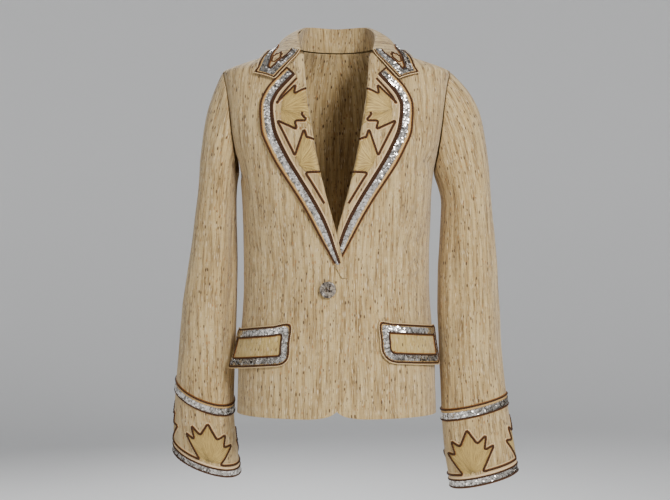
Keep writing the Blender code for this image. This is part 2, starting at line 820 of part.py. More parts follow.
# Bands of sequins between two cords, and couched cord


def seated(point, normal, seats):
    """Drops a point along its normal onto the faces of the pieces that it lies on."""
    reach = 0.004
    for seat in seats:
        hit, _, _, _ = seat.ray_cast(point + normal * reach, -normal, reach * 2)
        if hit:
            return hit
    return point


def seat_of(made):
    mesh = made.data
    points = [vertex.co for vertex in mesh.vertices]
    return BVHTree.FromPolygons(points, [face.vertices[:] for face in mesh.polygons])


def band(name, edges, material, seats, closed=False, clear=FACET):
    """A strip between two lines of (point, normal), raised into a cord along each edge."""
    profile = [  # share across, height
        (0.0, 0.0),
        (0.0, BAND_RIM),
        (0.2, BAND),
        (0.8, BAND),
        (1.0, BAND_RIM),
        (1.0, 0.0),
    ]
    points, faces = [], []
    ring = len(profile)
    for low, low_normal, high, high_normal in edges:
        low, high = seated(low, low_normal, seats), seated(high, high_normal, seats)
        for share, height in profile:
            normal = low_normal.lerp(high_normal, share).normalized()
            points.append(low.lerp(high, share) + normal * (SEAM + clear + height))
    stations = len(edges)
    for s in range(stations if closed else stations - 1):
        a, b = s * ring, ((s + 1) % stations) * ring
        for k in range(ring):
            n = (k + 1) % ring
            faces.append((a + k, a + n, b + n, b + k))
    if not closed:
        faces.append(tuple(range(ring)))
        faces.append(tuple(reversed(range((stations - 1) * ring, stations * ring))))
    return face_out(make_object(name, points, faces, material))


LONGEST_RUN = 0.009  # a cord's stations lie no further apart


def rounded(corners, radius, closed=False):
    """A flat route with each corner cut off, and long runs split."""
    route = []
    count = len(corners)
    for i, corner in enumerate(corners):
        if not closed and i in (0, count - 1):
            route.append(Vector(corner))
            continue
        here = Vector(corner)
        before = Vector(corners[i - 1])
        after = Vector(corners[(i + 1) % count])
        back, on = (before - here), (after - here)
        cut = min(radius, back.length * 0.4, on.length * 0.4)
        route += [here + back.normalized() * cut, here + on.normalized() * cut]
    split = []
    pairs = list(zip(route, route[1:] + (route[:1] if closed else [])))
    for a, b in pairs:
        parts = max(1, math.ceil((b - a).length / LONGEST_RUN))
        split += [a.lerp(b, k / parts) for k in range(parts)]
    return split if closed else split + [route[-1]]


def cord(name, line, material, seats, closed=False):
    """A four-sided cord along (point, normal) pairs that lie on the cloth's face."""
    half = CORD / 2
    points, faces = [], []
    count = len(line)
    for i, (point, normal) in enumerate(line):
        before = line[i - 1][0] if closed or i else point
        after = line[(i + 1) % count][0] if closed or i < count - 1 else point
        ahead = (after - before).normalized()
        side = ahead.cross(normal).normalized()
        middle = seated(point, normal, seats) + normal * (SEAM + FACET + half * 0.8)
        for across, up in ((1, 0), (0, 0.8), (-1, 0), (0, -0.8)):
            points.append(middle + side * half * across + normal * half * up)
    for i in range(count if closed else count - 1):
        a, b = i * 4, ((i + 1) % count) * 4
        for k in range(4):
            n = (k + 1) % 4
            faces.append((a + k, a + n, b + n, b + k))
    if not closed:
        faces.append((3, 2, 1, 0))
        faces.append(tuple(range((count - 1) * 4, count * 4)))
    return face_out(make_object(name, points, faces, material))


LEAF_CORNER = 0.0024  # how much of a leaf's corners the cord cuts off


def leaf_outline(middle, wide=1.0, tall=1.0):
    """One whole leaf along a base line, from foot to foot, as (along, up)."""
    half = [(middle - corner.across * wide, corner.up * tall) for corner in LEAF]
    other = [(middle + corner.across * wide, corner.up * tall) for corner in LEAF[-2::-1]]
    return half + other


def make_cuff_band(side, which, name, material, seats):
    low, high = CUFF_BANDS[which]
    edges = [
        on_sleeve(side, FACET_ANGLE * facet, low) + on_sleeve(side, FACET_ANGLE * facet, high)
        for facet in range(SLEEVE_SIDES)
    ]
    return band(name, edges, material, seats, closed=True)


def make_cuff_leaves(side, name, material, seats):
    angles, arcs = sleeve_round_table(side)
    pitch = arcs[-1] / LEAVES_A_SLEEVE
    start = LEAF_MIDDLE[side] - pitch / 2
    corners = [(start, 0.0)]
    for i in range(LEAVES_A_SLEEVE):
        corners += leaf_outline(start + (i + 0.5) * pitch, CUFF_LEAF_WIDE, CUFF_LEAF_TALL)
    corners.append((start + arcs[-1], 0.0))
    line = []
    for along, up in rounded(corners, LEAF_CORNER)[:-1]:
        angle = read(arcs, angles, along % arcs[-1])
        line.append(on_sleeve(side, angle, LEAF_FOOT + up))
    return cord(name, line, material, seats, closed=True)


# Places on a lapel, measured along its outer edge from the break, and in from that edge

@lru_cache(maxsize=None)
def lapel_edge_table():
    shares = [i / 120 for i in range(121)]
    points = [Vector((LAPEL["across"](s), LAPEL["height"](s))) for s in shares]
    lengths = [0.0]
    for a, b in zip(points, points[1:]):
        lengths.append(lengths[-1] + (b - a).length)
    return shares, points, lengths


def lapel_trim(trim, along):
    """A trim's inset at this distance along the lapel's edge."""
    shares, _, lengths = lapel_edge_table()
    return TRIM[trim](min(read(lengths, shares, along), 1.0))


def lapel_place(along, inset):
    """Across and height of a point this far along the lapel's edge and this far in from it. Past the notch it
    runs on along the gorge."""
    shares, points, lengths = lapel_edge_table()
    past = along - lengths[-1]
    if past > 0:
        ahead = (Vector(roll_point(1.0)) - points[-1]).normalized()
        return points[-1] + ahead * past + Vector((-ahead.y, ahead.x)) * inset
    share = read(lengths, shares, along)
    low, high = max(share - 0.02, 0.0), min(share + 0.02, 1.0)
    ahead = Vector(
        (LAPEL["across"](high) - LAPEL["across"](low), LAPEL["height"](high) - LAPEL["height"](low))
    ).normalized()
    here = Vector((LAPEL["across"](share), LAPEL["height"](share)))
    return here + Vector((-ahead.y, ahead.x)) * inset


def on_lapel(side, width_share, share):
    """A point and normal on a lapel's face."""
    (point, normal), = surface_row(lapel_surface(side), [(width_share, share)], side)
    return point + normal * CLOTH / 2, normal


def lapel_shares(across, height):
    """Solves for a place's shares across and up the lapel."""
    low, high = 0.0, 1.0
    for _ in range(30):
        share = (low + high) / 2
        roll_x, roll_z = roll_point(share)
        edge_x, edge_z = LAPEL["across"](share), LAPEL["height"](share)
        line = (edge_x - roll_x) * (height - roll_z) - (edge_z - roll_z) * (across - roll_x)
        if line > 0:
            low = share
        else:
            high = share
    roll_x, roll_z = roll_point(share)
    edge_x, edge_z = LAPEL["across"](share), LAPEL["height"](share)
    span = Vector((edge_x - roll_x, edge_z - roll_z))
    offset = Vector((across - roll_x, height - roll_z))
    return offset.dot(span) / max(span.length_squared, 1e-9), share


def make_lapel_band(side, name, material, seat):
    edges = []
    for share in LAPEL_SHARES[1:-5]:
        inner, outer = lapel_band_shares(share)
        edges.append(on_lapel(side, outer, share) + on_lapel(side, inner, share))
    _, _, lengths = lapel_edge_table()
    for past in LAPEL_BAND_TURN:
        along = lengths[-1] + past
        insets = (LAPEL_BAND_EDGE, lapel_trim("band", along))
        outer, inner = (lapel_shares(*lapel_place(along, inset)) for inset in insets)
        edges.append(on_lapel(side, *outer) + on_lapel(side, *inner))
    return band(name, edges, material, seat)


BASE_LINE_START = (0.024, 0.010, 0.0, -0.009, -0.018, -0.027, -0.036)  # its first stations, from the notch

# The lapel's leaves. height: where the lapel's edge passes a leaf's middle. lean: how far it leans up
LapelLeaf = namedtuple("LapelLeaf", "height lean size")
LAPEL_LEAVES = [
    LapelLeaf(-0.097, 0.16, 1.00),
    LapelLeaf(-0.194, 0.12, 1.08),
    LapelLeaf(-0.272, 0.90, 1.00),
]
ROLL_MARGIN = 0.02  # share of the width by the roll that the cord stays out of


def make_lapel_leaves(side, name, material, seats):
    """The leaf border on a lapel. Where a leaf reaches the roll, its outline breaks into separate cords."""
    _, points, lengths = lapel_edge_table()
    start = [lengths[-1] + past for past in BASE_LINE_START]
    corners = [lapel_place(along, lapel_trim("leaves", along)) for along in start]
    for leaf in LAPEL_LEAVES:
        middle = read([point.y for point in points], lengths, leaf.height)
        foot = lapel_place(middle, lapel_trim("leaves", middle))
        inward = (foot - lapel_place(middle, 0.0)).normalized()
        ahead = Vector((inward.y, -inward.x))
        for along, up in leaf_outline(0.0):
            corners.append(foot + (inward * up + ahead * (up * leaf.lean - along)) * leaf.size)
    runs = [[]]
    for place in rounded(corners, LEAF_CORNER):
        width_share, share = lapel_shares(*place)
        if width_share > ROLL_MARGIN:
            runs[-1].append(on_lapel(side, width_share, share))
        elif runs[-1]:
            runs.append([])
    runs = [run for run in runs if len(run) > 2]
    for i, run in enumerate(runs):
        cord(f"{name}_{i + 1}", run, material, seats)


FLAP_BAND = (0.0030, 0.0160)  # from the flap's edge to the band's two edges
FLAP_TURN = 0.0185  # how far from the flap's ends the band's straight runs begin


def flap_ring(side, margin):
    """A ring of places on a flap, this far in from its edge, with its stations over the flap's columns."""
    flap = FLAPS[side]
    low, high = margin, flap.width - margin
    top, bottom = margin, flap.height - margin
    near, far = max(flap.corner - margin, 0.004), max(flap.corner * 0.6 - margin, 0.003)
    columns = [c for c in flap_columns(side) if FLAP_TURN < c < flap.width - FLAP_TURN]
    route = [(low, top)] + [(along, top) for along in columns]
    route += [(high, top), (high, mix(top, bottom, 0.5))]
    for quarter_share in (0.0, 0.5, 1.0):
        angle = math.pi / 2 * quarter_share
        route.append((high - far + far * math.cos(angle), bottom - far + far * math.sin(angle)))
    route += [(along, bottom) for along in reversed(columns) if along > flap.corner + 0.004]
    for quarter_share in (0.0, 0.33, 0.67, 1.0):
        angle = math.pi / 2 * (1 + quarter_share)
        route.append((low + near + near * math.cos(angle), bottom - near + near * math.sin(angle)))
    return route + [(low, mix(top, bottom, 0.5))]


def make_flap_band(side, name, material, seat):
    surface = flap_surface(side)
    outer, inner = (surface_row(surface, flap_ring(side, margin), -side) for margin in FLAP_BAND)
    edges = [
        (a + n * CLOTH / 2, n, b + m * CLOTH / 2, m) for (a, n), (b, m) in zip(outer, inner)
    ]
    return band(name, edges, material, seat, closed=True)


def on_collar(share, width_share):
    """A point and normal on the fall's upper face."""
    (point, normal), = surface_row(collar_fall_surface, [(width_share, share)], -1)
    return point + normal * CLOTH / 2, normal


COLLAR_BAND = (0.0018, 0.0150)  # from the collar's edges to the band's two edges
COLLAR_CLEAR = 0.0014  # how far the band stays clear of the collar's facets, which twist at its ends
GORGE_BAND_END = 0.80  # share where the band meets the roll


def collar_ring(inset):
    """Places round the left half of the collar, this far in from its edges: along its free edge from the
    centre back, down its end and back along the gorge."""

    def across(share):
        return (collar_fall_point(share, 1.0) - collar_fall_point(share, 0.0)).length

    def end(width_share):
        along = (collar_fall_point(1.0, width_share) - collar_fall_point(0.94, width_share)).length / 0.06
        return 1 - inset / along

    def short(share, width_share):
        past = max(share - GORGE_BAND_END, 0.0) / (1 - GORGE_BAND_END)
        return share if past == 0 else mix(GORGE_BAND_END, end(width_share), past)

    route = [(short(s, 1.0), 1 - inset / across(s)) for s in COLLAR_SHARES]
    low = inset / across(1.0)
    route += [(end(w), mix(low, 1 - low, w)) for w in COLLAR_WIDTHS[-2:0:-1]]
    route += [(short(s, 0.0), inset / across(s)) for s in COLLAR_SHARES[::-1] if s >= GORGE_BAND_END]
    return route


def make_collar_band(name, material, seats):
    """The band that runs down each gorge edge, round the collar's ends and along its free edge."""
    half = list(zip(*(collar_ring(inset) for inset in COLLAR_BAND)))
    edges = []
    for side, stations in ((-1, half[:0:-1]), (1, half)):
        for outer, inner in stations:
            edges.append(on_collar(side * outer[0], outer[1]) + on_collar(side * inner[0], inner[1]))
    return band(name, edges, material, seats, clear=COLLAR_CLEAR)


COLLAR_LEAF_FOOT = (0.912, 0.50)  # along and across the collar's end
COLLAR_LEAF_SIZE = (0.50, 0.19)  # its length and width in shares of a whole leaf's


def make_collar_leaf(side, name, material, seats):
    """The small leaf that lies on a collar end, with its foot towards the notch."""
    foot, middle = COLLAR_LEAF_FOOT
    long, wide = COLLAR_LEAF_SIZE
    step = 0.02
    here = collar_fall_point(foot, middle)
    along_length = (collar_fall_point(foot - step, middle) - here).length / step
    across_length = (collar_fall_point(foot, middle + step) - here).length / step
    line = []
    for across, up in rounded(leaf_outline(0.0), 0.0040, closed=True):
        share = foot - up * long / along_length
        width_share = middle + across * wide / across_length
        line.append(on_collar(side * share, width_share))
    return cord(name, line, material, seats, closed=True)


# The button


def make_button(name, material):
    radius = BUTTON_WIDTH / 2
    profile = [  # radius, height
        (0.0000, 0.0000),
        (radius * 0.72, 0.0000),
        (radius * 0.97, 0.0016),
        (radius, 0.0028),
        (radius * 0.93, 0.0040),
        (radius * 0.80, 0.0042),
        (radius * 0.66, 0.0030),
        (0.0000, 0.0028),
    ]
    work = bmesh.new()
    spine = [work.verts.new((r, 0, z)) for r, z in profile]
    edges = [work.edges.new(pair) for pair in zip(spine, spine[1:])]
    bmesh.ops.spin(
        work,
        geom=spine + edges,
        cent=(0, 0, 0),
        axis=(0, 0, 1),
        angle=math.tau,
        steps=16,
        use_duplicate=False,
    )
    bmesh.ops.remove_doubles(work, verts=work.verts, dist=1e-6)
    bmesh.ops.recalc_face_normals(work, faces=work.faces)
    mesh = bpy.data.meshes.new(name)
    work.to_mesh(mesh)
    work.free()
    mesh.materials.append(material)
    made = bpy.data.objects.new(name, mesh)
    bpy.context.scene.collection.objects.link(made)
    hole_ring = 0.0033
    for i in range(4):
        angle = math.radians(45 + 90 * i)
        bpy.ops.mesh.primitive_cylinder_add(vertices=6, radius=0.0011, depth=0.012)
        cutter = bpy.context.object
        cutter.name = f"{name}_hole_{i + 1}"
        cutter.location = (hole_ring * math.cos(angle), hole_ring * math.sin(angle), 0.002)
        cutter.hide_render = True
        cutter.display_type = "WIRE"
        cutter.parent = made
        cut = made.modifiers.new(cutter.name, "BOOLEAN")
        cut.operation = "DIFFERENCE"
        cut.object = cutter
    return made


def place_button(made):
    seat = on_front(RIGHT, BUTTON_ACROSS, BUTTON_HEIGHT, 0.0)
    normal = form_slope(seat).normalized()
    made.location = seat + normal * (lap(RIGHT, BUTTON_ACROSS, BUTTON_HEIGHT) + SEAM * 2)
    made.rotation_mode = "QUATERNION"
    made.rotation_quaternion = normal.to_track_quat("Z", "Y")


def finish(name, colour, roughness, metallic=0.0):
    material = bpy.data.materials.new(name)
    material.use_nodes = True
    shader = material.node_tree.nodes["Principled BSDF"]
    shader.inputs["Base Color"].default_value = (*colour, 1.0)
    shader.inputs["Roughness"].default_value = roughness
    shader.inputs["Metallic"].default_value = metallic
    return material


def main():
    for old in list(bpy.data.objects):
        bpy.data.objects.remove(old)
    cloth = finish("slubbed_cloth", (0.56, 0.44, 0.27), 0.85)
    sequins = finish("silver_sequins", (0.62, 0.60, 0.58), 0.25, 0.9)
    brown_cord = finish("brown_cord", (0.12, 0.055, 0.015), 0.7)
    horn = finish("horn_button", (0.22, 0.18, 0.14), 0.3)
    front_seam, back_seam = UNDER_SLEEVE
    collar = make_collar_fall("collar_fall", cloth)
    make_collar_stand("collar_stand", cloth)
    make_collar_band("collar_band", sequins, [seat_of(collar)])
    for side, word in ((RIGHT, "right"), (LEFT, "left")):
        make_front(side, f"front_{word}", cloth)
        make_back(side, f"back_{word}", cloth)
        under = make_sleeve_half(side, f"under_sleeve_{word}", front_seam, back_seam, cloth)
        upper = make_sleeve_half(side, f"upper_sleeve_{word}", back_seam - SLEEVE_SIDES, front_seam, cloth)
        lapel = make_lapel(side, f"lapel_{word}", cloth)
        flap = make_flap(side, f"pocket_flap_{word}", cloth)
        make_lapel_band(side, f"lapel_band_{word}", sequins, [seat_of(lapel)])
        make_lapel_leaves(side, f"lapel_leaf_cord_{word}", brown_cord, [seat_of(lapel)])
        make_flap_band(side, f"flap_band_{word}", sequins, [seat_of(flap)])
        make_collar_leaf(side, f"collar_leaf_cord_{word}", brown_cord, [seat_of(collar)])
        sleeve = [seat_of(upper), seat_of(under)]
        make_cuff_leaves(side, f"sleeve_leaf_cord_{word}", brown_cord, sleeve)
        for which in CUFF_BANDS:
            make_cuff_band(side, which, f"sleeve_{which}_band_{word}", sequins, sleeve)
    place_button(make_button("button", horn))


main()
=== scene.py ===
import json
import math
import random
from collections import namedtuple

import bmesh
import bpy
import numpy as np
from mathutils import Matrix, Vector, noise
from mathutils.bvhtree import BVHTree
from mathutils.kdtree import KDTree

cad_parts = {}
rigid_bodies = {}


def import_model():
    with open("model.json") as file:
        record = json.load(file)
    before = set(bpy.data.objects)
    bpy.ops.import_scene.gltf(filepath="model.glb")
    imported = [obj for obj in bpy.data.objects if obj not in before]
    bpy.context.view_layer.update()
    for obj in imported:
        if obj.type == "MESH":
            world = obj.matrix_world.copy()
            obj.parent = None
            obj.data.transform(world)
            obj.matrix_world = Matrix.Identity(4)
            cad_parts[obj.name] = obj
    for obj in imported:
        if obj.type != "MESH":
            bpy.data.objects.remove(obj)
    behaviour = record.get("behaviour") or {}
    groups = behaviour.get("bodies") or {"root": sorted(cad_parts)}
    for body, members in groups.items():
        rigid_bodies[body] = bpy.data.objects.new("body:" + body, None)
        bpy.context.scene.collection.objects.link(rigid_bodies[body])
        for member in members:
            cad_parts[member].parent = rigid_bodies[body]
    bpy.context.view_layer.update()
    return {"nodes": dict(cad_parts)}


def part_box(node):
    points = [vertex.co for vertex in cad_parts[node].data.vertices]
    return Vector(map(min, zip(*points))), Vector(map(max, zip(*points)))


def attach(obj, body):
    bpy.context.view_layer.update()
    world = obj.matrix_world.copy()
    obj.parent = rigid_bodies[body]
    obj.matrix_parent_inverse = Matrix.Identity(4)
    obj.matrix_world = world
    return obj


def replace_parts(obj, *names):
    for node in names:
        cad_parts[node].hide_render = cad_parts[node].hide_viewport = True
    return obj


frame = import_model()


# Camera, floor and light
# The jacket keeps the form it has when worn, seen square from the front at the height of its chest. A pale
# round floor curves up far off on all sides, and large soft lamps light the jacket from its left and above.

SIGHT = Vector((-0.0024, -2.2, -0.307))
LENS = 73.9
SENSOR = 36.0
LIT = Vector((0, 0, -0.30))
FLOOR = -1.05
SWEEP_RADIUS = 3.6
SWEEP_CURVE = 1.2
SWEEP_TOP = 1.3


def put(name, data):
    """A new object in the scene, at the origin."""
    thing = bpy.data.objects.new(name, data)
    bpy.context.scene.collection.objects.link(thing)
    return thing


camera_data = bpy.data.cameras.new("camera")
camera_data.lens = LENS
camera_data.sensor_width = SENSOR
camera = put("camera", camera_data)
camera.location = SIGHT
camera.rotation_euler = (math.radians(90), 0, 0)
bpy.context.scene.camera = camera


def mesh_piece(name, points, faces, material, flat=None, smooth=True):
    """A piece from points and faces. flat: its pattern's coordinates at each corner of each face."""
    mesh = bpy.data.meshes.new(name)
    mesh.from_pydata([tuple(point) for point in points], [], faces)
    mesh.update()
    mesh.materials.append(material)
    if smooth:
        mesh.shade_smooth()
    if flat:
        mesh.uv_layers.new(name="flat").data.foreach_set("uv", flat)
    return put(name, mesh)


class Wire:
    """A socket of a shader's nodes. Arithmetic on it adds the nodes that do the sum."""

    def __init__(self, tree, socket=None):
        self.tree = tree
        self.socket = socket

    def add(self, kind, settings, values, output=0):
        """Adds a node: its settings first, then a value or a wire for each of its sockets."""
        node = self.tree.nodes.new(kind)
        for name, value in settings.items():
            setattr(node, name, value)
        for name, value in values.items():
            if isinstance(value, Wire):
                self.tree.links.new(value.socket, node.inputs[name])
            else:
                node.inputs[name].default_value = value
        return Wire(self.tree, node.outputs[output])

    def out(self, name):
        """Another output of the node that this wire comes from."""
        return Wire(self.tree, self.socket.node.outputs[name])

    def maths(self, operation, first, second=0.0, clamp=False):
        settings = {"operation": operation, "use_clamp": clamp}
        return self.add("ShaderNodeMath", settings, {0: first, 1: second})

    def __add__(self, other):
        return self.maths("ADD", self, other)

    def __sub__(self, other):
        return self.maths("SUBTRACT", self, other)

    def __mul__(self, other):
        return self.maths("MULTIPLY", self, other)

    def __gt__(self, other):
        return self.maths("GREATER_THAN", self, other)

    def __rsub__(self, other):
        return self.maths("SUBTRACT", other, self)

    __radd__ = __add__
    __rmul__ = __mul__

    def within(self, low, high):
        """0 below low, 1 above high and an even ramp between."""
        return self.maths("MULTIPLY", self - low, 1 / (high - low), clamp=True)

    def wave(self):
        return self.maths("SINE", self)

    def mixed(self, plain, other):
        """A colour between two, as this wire goes from 0 to 1."""
        return self.add("ShaderNodeMix", {"data_type": "RGBA"}, {0: self, 6: plain, 7: other}, 2)

    def vector(self, x, y, z=0.0):
        return self.add("ShaderNodeCombineXYZ", {}, {"X": x, "Y": y, "Z": z})

    def cloudy(self, place, detail=2.0):
        """Smooth noise, one cloud to each unit of the place."""
        return self.add("ShaderNodeTexNoise", {}, {"Vector": place, "Scale": 1.0, "Detail": detail})

    def bumped(self, height, distance, strength=1.0):
        values = {"Height": height, "Distance": distance, "Strength": strength}
        return self.add("ShaderNodeBump", {}, values)

    def flat(self):
        """The two coordinates of the piece's own pattern."""
        place = self.add("ShaderNodeTexCoord", {}, {}, "UV")
        split = self.add("ShaderNodeSeparateXYZ", {}, {"Vector": place})
        return split, split.out("Y")


def new_finish(name, roughness, metallic=0.0):
    """A material, its shader, and a wire to add nodes with."""
    material = bpy.data.materials.new(name)
    material.use_nodes = True
    shader = material.node_tree.nodes["Principled BSDF"]
    shader.inputs["Roughness"].default_value = roughness
    shader.inputs["Metallic"].default_value = metallic
    return material, shader, Wire(material.node_tree)


def feed(shader, socket, wire):
    wire.tree.links.new(wire.socket, shader.inputs[socket])


def make_sweep():
    material, shader, wire = new_finish("pale_sweep", 0.9)
    place = wire.add("ShaderNodeTexCoord", {}, {}, "Object")
    feed(shader, "Base Color", wire.cloudy(place).mixed((0.84, 0.84, 0.84, 1), (0.86, 0.86, 0.86, 1)))
    profile = [(SWEEP_RADIUS, FLOOR)]
    for step in range(1, 9):
        angle = math.radians(90) * step / 8
        out = SWEEP_RADIUS + SWEEP_CURVE * math.sin(angle)
        profile.append((out, FLOOR + SWEEP_CURVE * (1 - math.cos(angle))))
    profile.append((SWEEP_RADIUS + SWEEP_CURVE, SWEEP_TOP))
    around = 64
    points, faces = [], [tuple(range(around))]
    for out, height in profile:
        for k in range(around):
            angle = math.tau * k / around
            points.append((out * math.cos(angle), out * math.sin(angle), height))
    for ring in range(len(profile) - 1):
        low, high = ring * around, (ring + 1) * around
        for k in range(around):
            n = (k + 1) % around
            faces.append((low + k, high + k, high + n, low + n))
    mesh_piece("sweep", points, faces, material)


make_sweep()
Lamp = namedtuple("Lamp", "place size power")
LAMPS = {
    "key_lamp": Lamp((1.1, -2.6, 0.9), 0.8, 92),
    "fill_lamp": Lamp((-1.3, -2.5, 0.1), 1.4, 10),
    "top_lamp": Lamp((0.4, 0.3, 1.9), 1.4, 8),
    "back_lamp": Lamp((-0.6, 1.9, 0.9), 1.2, 40),
}
for name, lamp in LAMPS.items():
    data = bpy.data.lights.new(name, "AREA")
    data.shape = "DISK"
    data.size = lamp.size
    data.energy = lamp.power
    light = put(name, data)
    light.location = lamp.place
    light.rotation_euler = (LIT - light.location).to_track_quat("-Z", "Y").to_euler()
world = bpy.data.worlds.new("studio")
world.use_nodes = True
background = world.node_tree.nodes["Background"]
background.inputs["Color"].default_value = (0.95, 0.97, 1.0, 1)
background.inputs["Strength"].default_value = 0.33
bpy.context.scene.world = world


# Fronts and backs
# Two fronts and two backs of a tan raw-silk tweed, its warp upright, with brown and orange slubs. They are
# cut to the figure, interlined, and sewn at the sides, the shoulders and down the middle of the back.

CLOTH = 0.0016
HEM = -0.564
RIM_ANGLE = math.radians(60)
TAN = (0.480, 0.322, 0.128, 1)
PALE_TAN = (0.710, 0.535, 0.262, 1)
DUSKY_TAN = (0.165, 0.096, 0.035, 1)
BROWN_YARN = (0.085, 0.043, 0.018, 1)
RUST_YARN = (0.36, 0.17, 0.05, 1)
CREAM_YARN = (0.74, 0.60, 0.38, 1)

# Slubs, short thick places in the yarn: sizes in mm, the share of cells that have one, and how much of the
# cloth's colour and relief they take
Slub = namedtuple("Slub", "width length share seed colour cover height")
SLUBS = [
    Slub(3.0, 16.0, 0.45, 17.5, CREAM_YARN, 0.70, 0.30),
    Slub(4.6, 10.0, 0.34, 11.5, RUST_YARN, 0.75, 0.40),
    Slub(2.6, 15.0, 0.55, 6.5, BROWN_YARN, 0.72, 0.35),
    Slub(4.6, 11.0, 0.55, 1.5, BROWN_YARN, 0.92, 0.55),
]


def slubs_in(wire, across, along, slub):
    """1 in a slub and 0 between."""
    place = wire.vector(across * (1 / slub.width), along * (1 / slub.length), slub.seed)
    cell = wire.add("ShaderNodeTexVoronoi", {}, {"Vector": place, "Scale": 1.0})
    tone = wire.add("ShaderNodeSeparateColor", {}, {"Color": cell.out("Color")})
    reach = tone.out("Green") * 0.18 + 0.16
    return (reach - cell).within(0.0, 0.10) * (tone > 1 - slub.share)


def make_slubbed_cloth(name, tan, pale, dusk):
    """Silk tweed. Its coordinates are the flat pattern's own, in metres, with the warp along the second."""
    material, shader, wire = new_finish(name, 0.82)
    across, along = [part * 1000 for part in wire.flat()]
    broad = wire.cloudy(wire.vector(across * 0.16, along * 0.010, 3.0))
    streak = wire.cloudy(wire.vector(across * 0.52, along * 0.018, 8.0), 3.0)
    thread = wire.cloudy(wire.vector(across * 1.2, along * 0.06, 15.0))
    weft = wire.cloudy(wire.vector(across * 0.10, along * 1.3, 21.0))
    colour = streak.within(0.41, 0.59).mixed(dusk, tan)
    colour = (broad.within(0.42, 0.66) * 0.70).mixed(colour, pale)
    colour = (thread.within(0.35, 0.60) * 0.45).mixed(colour, tan)
    colour = (thread.within(0.56, 0.70) * 0.75).mixed(colour, CREAM_YARN)
    colour = (weft.within(0.54, 0.72) * 0.30).mixed(colour, dusk)
    weave = (across * (math.tau / 0.9)).wave() * (along * (math.tau / 0.8)).wave()
    height = weave * 0.16 + thread * 0.5 + weft * 0.3
    for slub in SLUBS:
        here = slubs_in(wire, across, along, slub)
        colour = (here * slub.cover).mixed(colour, slub.colour)
        height = height + here * slub.height
    feed(shader, "Base Color", colour)
    feed(shader, "Normal", wire.bumped(height, 0.0006, 0.8))
    shader.inputs["Sheen Weight"].default_value = 0.18
    shader.inputs["Sheen Roughness"].default_value = 0.55
    shader.inputs["Specular IOR Level"].default_value = 0.30
    return material


slubbed_cloth = make_slubbed_cloth("slubbed_cloth", TAN, PALE_TAN, DUSKY_TAN)


def only(piece):
    """Selects one piece alone, to work on it."""
    bpy.ops.object.select_all(action="DESELECT")
    piece.select_set(True)
    bpy.context.view_layer.objects.active = piece


def shape_with(piece, kind, **settings):
    """Adds one modifier and applies it."""
    only(piece)
    modifier = piece.modifiers.new(kind, kind)
    for name, value in settings.items():
        setattr(modifier, name, value)
    bpy.ops.object.modifier_apply(modifier=modifier.name)


def merged(node):
    """A copy of a node's mesh, with its loose triangles joined up."""
    work = bmesh.new()
    work.from_mesh(frame["nodes"][node].data)
    bmesh.ops.remove_doubles(work, verts=work.verts, dist=0.00001)
    return work


def shown_side(name, node, way_out, material, rim_angle):
    """The shown side of a wall's solid, as a sheet of four-sided faces."""
    work = merged(node)
    left = set(work.faces)
    sides = []
    while left:
        side = [left.pop()]
        for face in side:
            for edge in face.edges:
                if len(edge.link_faces) == 2 and edge.calc_face_angle() < rim_angle:
                    fresh = [other for other in edge.link_faces if other in left]
                    left.difference_update(fresh)
                    side.extend(fresh)
        sides.append(side)
    sides.sort(key=lambda side: -sum(face.calc_area() for face in side))
    turned = [
        sum(face.calc_area() * face.normal.dot(way_out(face.calc_center_median())) for face in side)
        for side in sides[:2]
    ]
    kept = set(sides[turned.index(max(turned))])
    bmesh.ops.delete(work, geom=[face for face in work.faces if face not in kept], context="FACES")
    bmesh.ops.join_triangles(
        work,
        faces=work.faces,
        angle_face_threshold=math.radians(60),
        angle_shape_threshold=math.radians(140),
    )
    mesh = bpy.data.meshes.new(name)
    work.to_mesh(mesh)
    work.free()
    mesh.materials.append(material)
    mesh.shade_smooth()
    return put(name, mesh)


CURVED = 0.5  # a piece that fills less of its box than this is a curved strip


def strip_size(mesh, area):
    """The width and length of the straight strip that a curved one would make."""
    points = edge_points(mesh)
    half_round = sum((b - a).length for a, b in zip(points[::2], points[1::2]))
    length = (half_round + math.sqrt(max(half_round**2 - 4 * area, 0.0))) / 2
    return area / length, length


def lay_flat(piece):
    """Unwraps a sheet to the piece it was cut as, in metres. Gives its width, length and area."""
    only(piece)
    bpy.ops.object.mode_set(mode="EDIT")
    bpy.ops.mesh.select_all(action="SELECT")
    bpy.ops.uv.unwrap(method="ANGLE_BASED", margin=0.0)
    bpy.ops.object.mode_set(mode="OBJECT")
    mesh = piece.data
    layer = mesh.uv_layers.active.data
    flat = np.array([layer[i].uv for i in range(len(layer))])
    height = np.array([mesh.vertices[loop.vertex_index].co.z for loop in mesh.loops])
    flat_area = 0.0
    for face in mesh.polygons:
        corners = flat[face.loop_start : face.loop_start + face.loop_total]
        x, y = corners[:, 0], corners[:, 1]
        flat_area += abs(np.dot(x, np.roll(y, -1)) - np.dot(y, np.roll(x, -1))) / 2
    area = sum(face.area for face in mesh.polygons)
    flat = (flat - flat.mean(axis=0)) * math.sqrt(area / flat_area)
    rise, *_ = np.linalg.lstsq(flat, height - height.mean(), rcond=None)
    up = rise / np.linalg.norm(rise)
    flat = np.stack([flat @ np.array([up[1], -up[0]]), flat @ up], axis=1)
    layer.foreach_set("uv", flat.ravel())
    width, length = flat.max(axis=0) - flat.min(axis=0)
    if area < CURVED * width * length:
        width, length = strip_size(mesh, area)
    return width, length, area


def seat_of(*pieces):
    """What a trim is laid on: the faces of one or more pieces."""
    points, faces = [], []
    for piece in pieces:
        first = len(points)
        points += [vertex.co.copy() for vertex in piece.data.vertices]
        faces += [[first + corner for corner in face.vertices] for face in piece.data.polygons]
    return BVHTree.FromPolygons(points, faces)


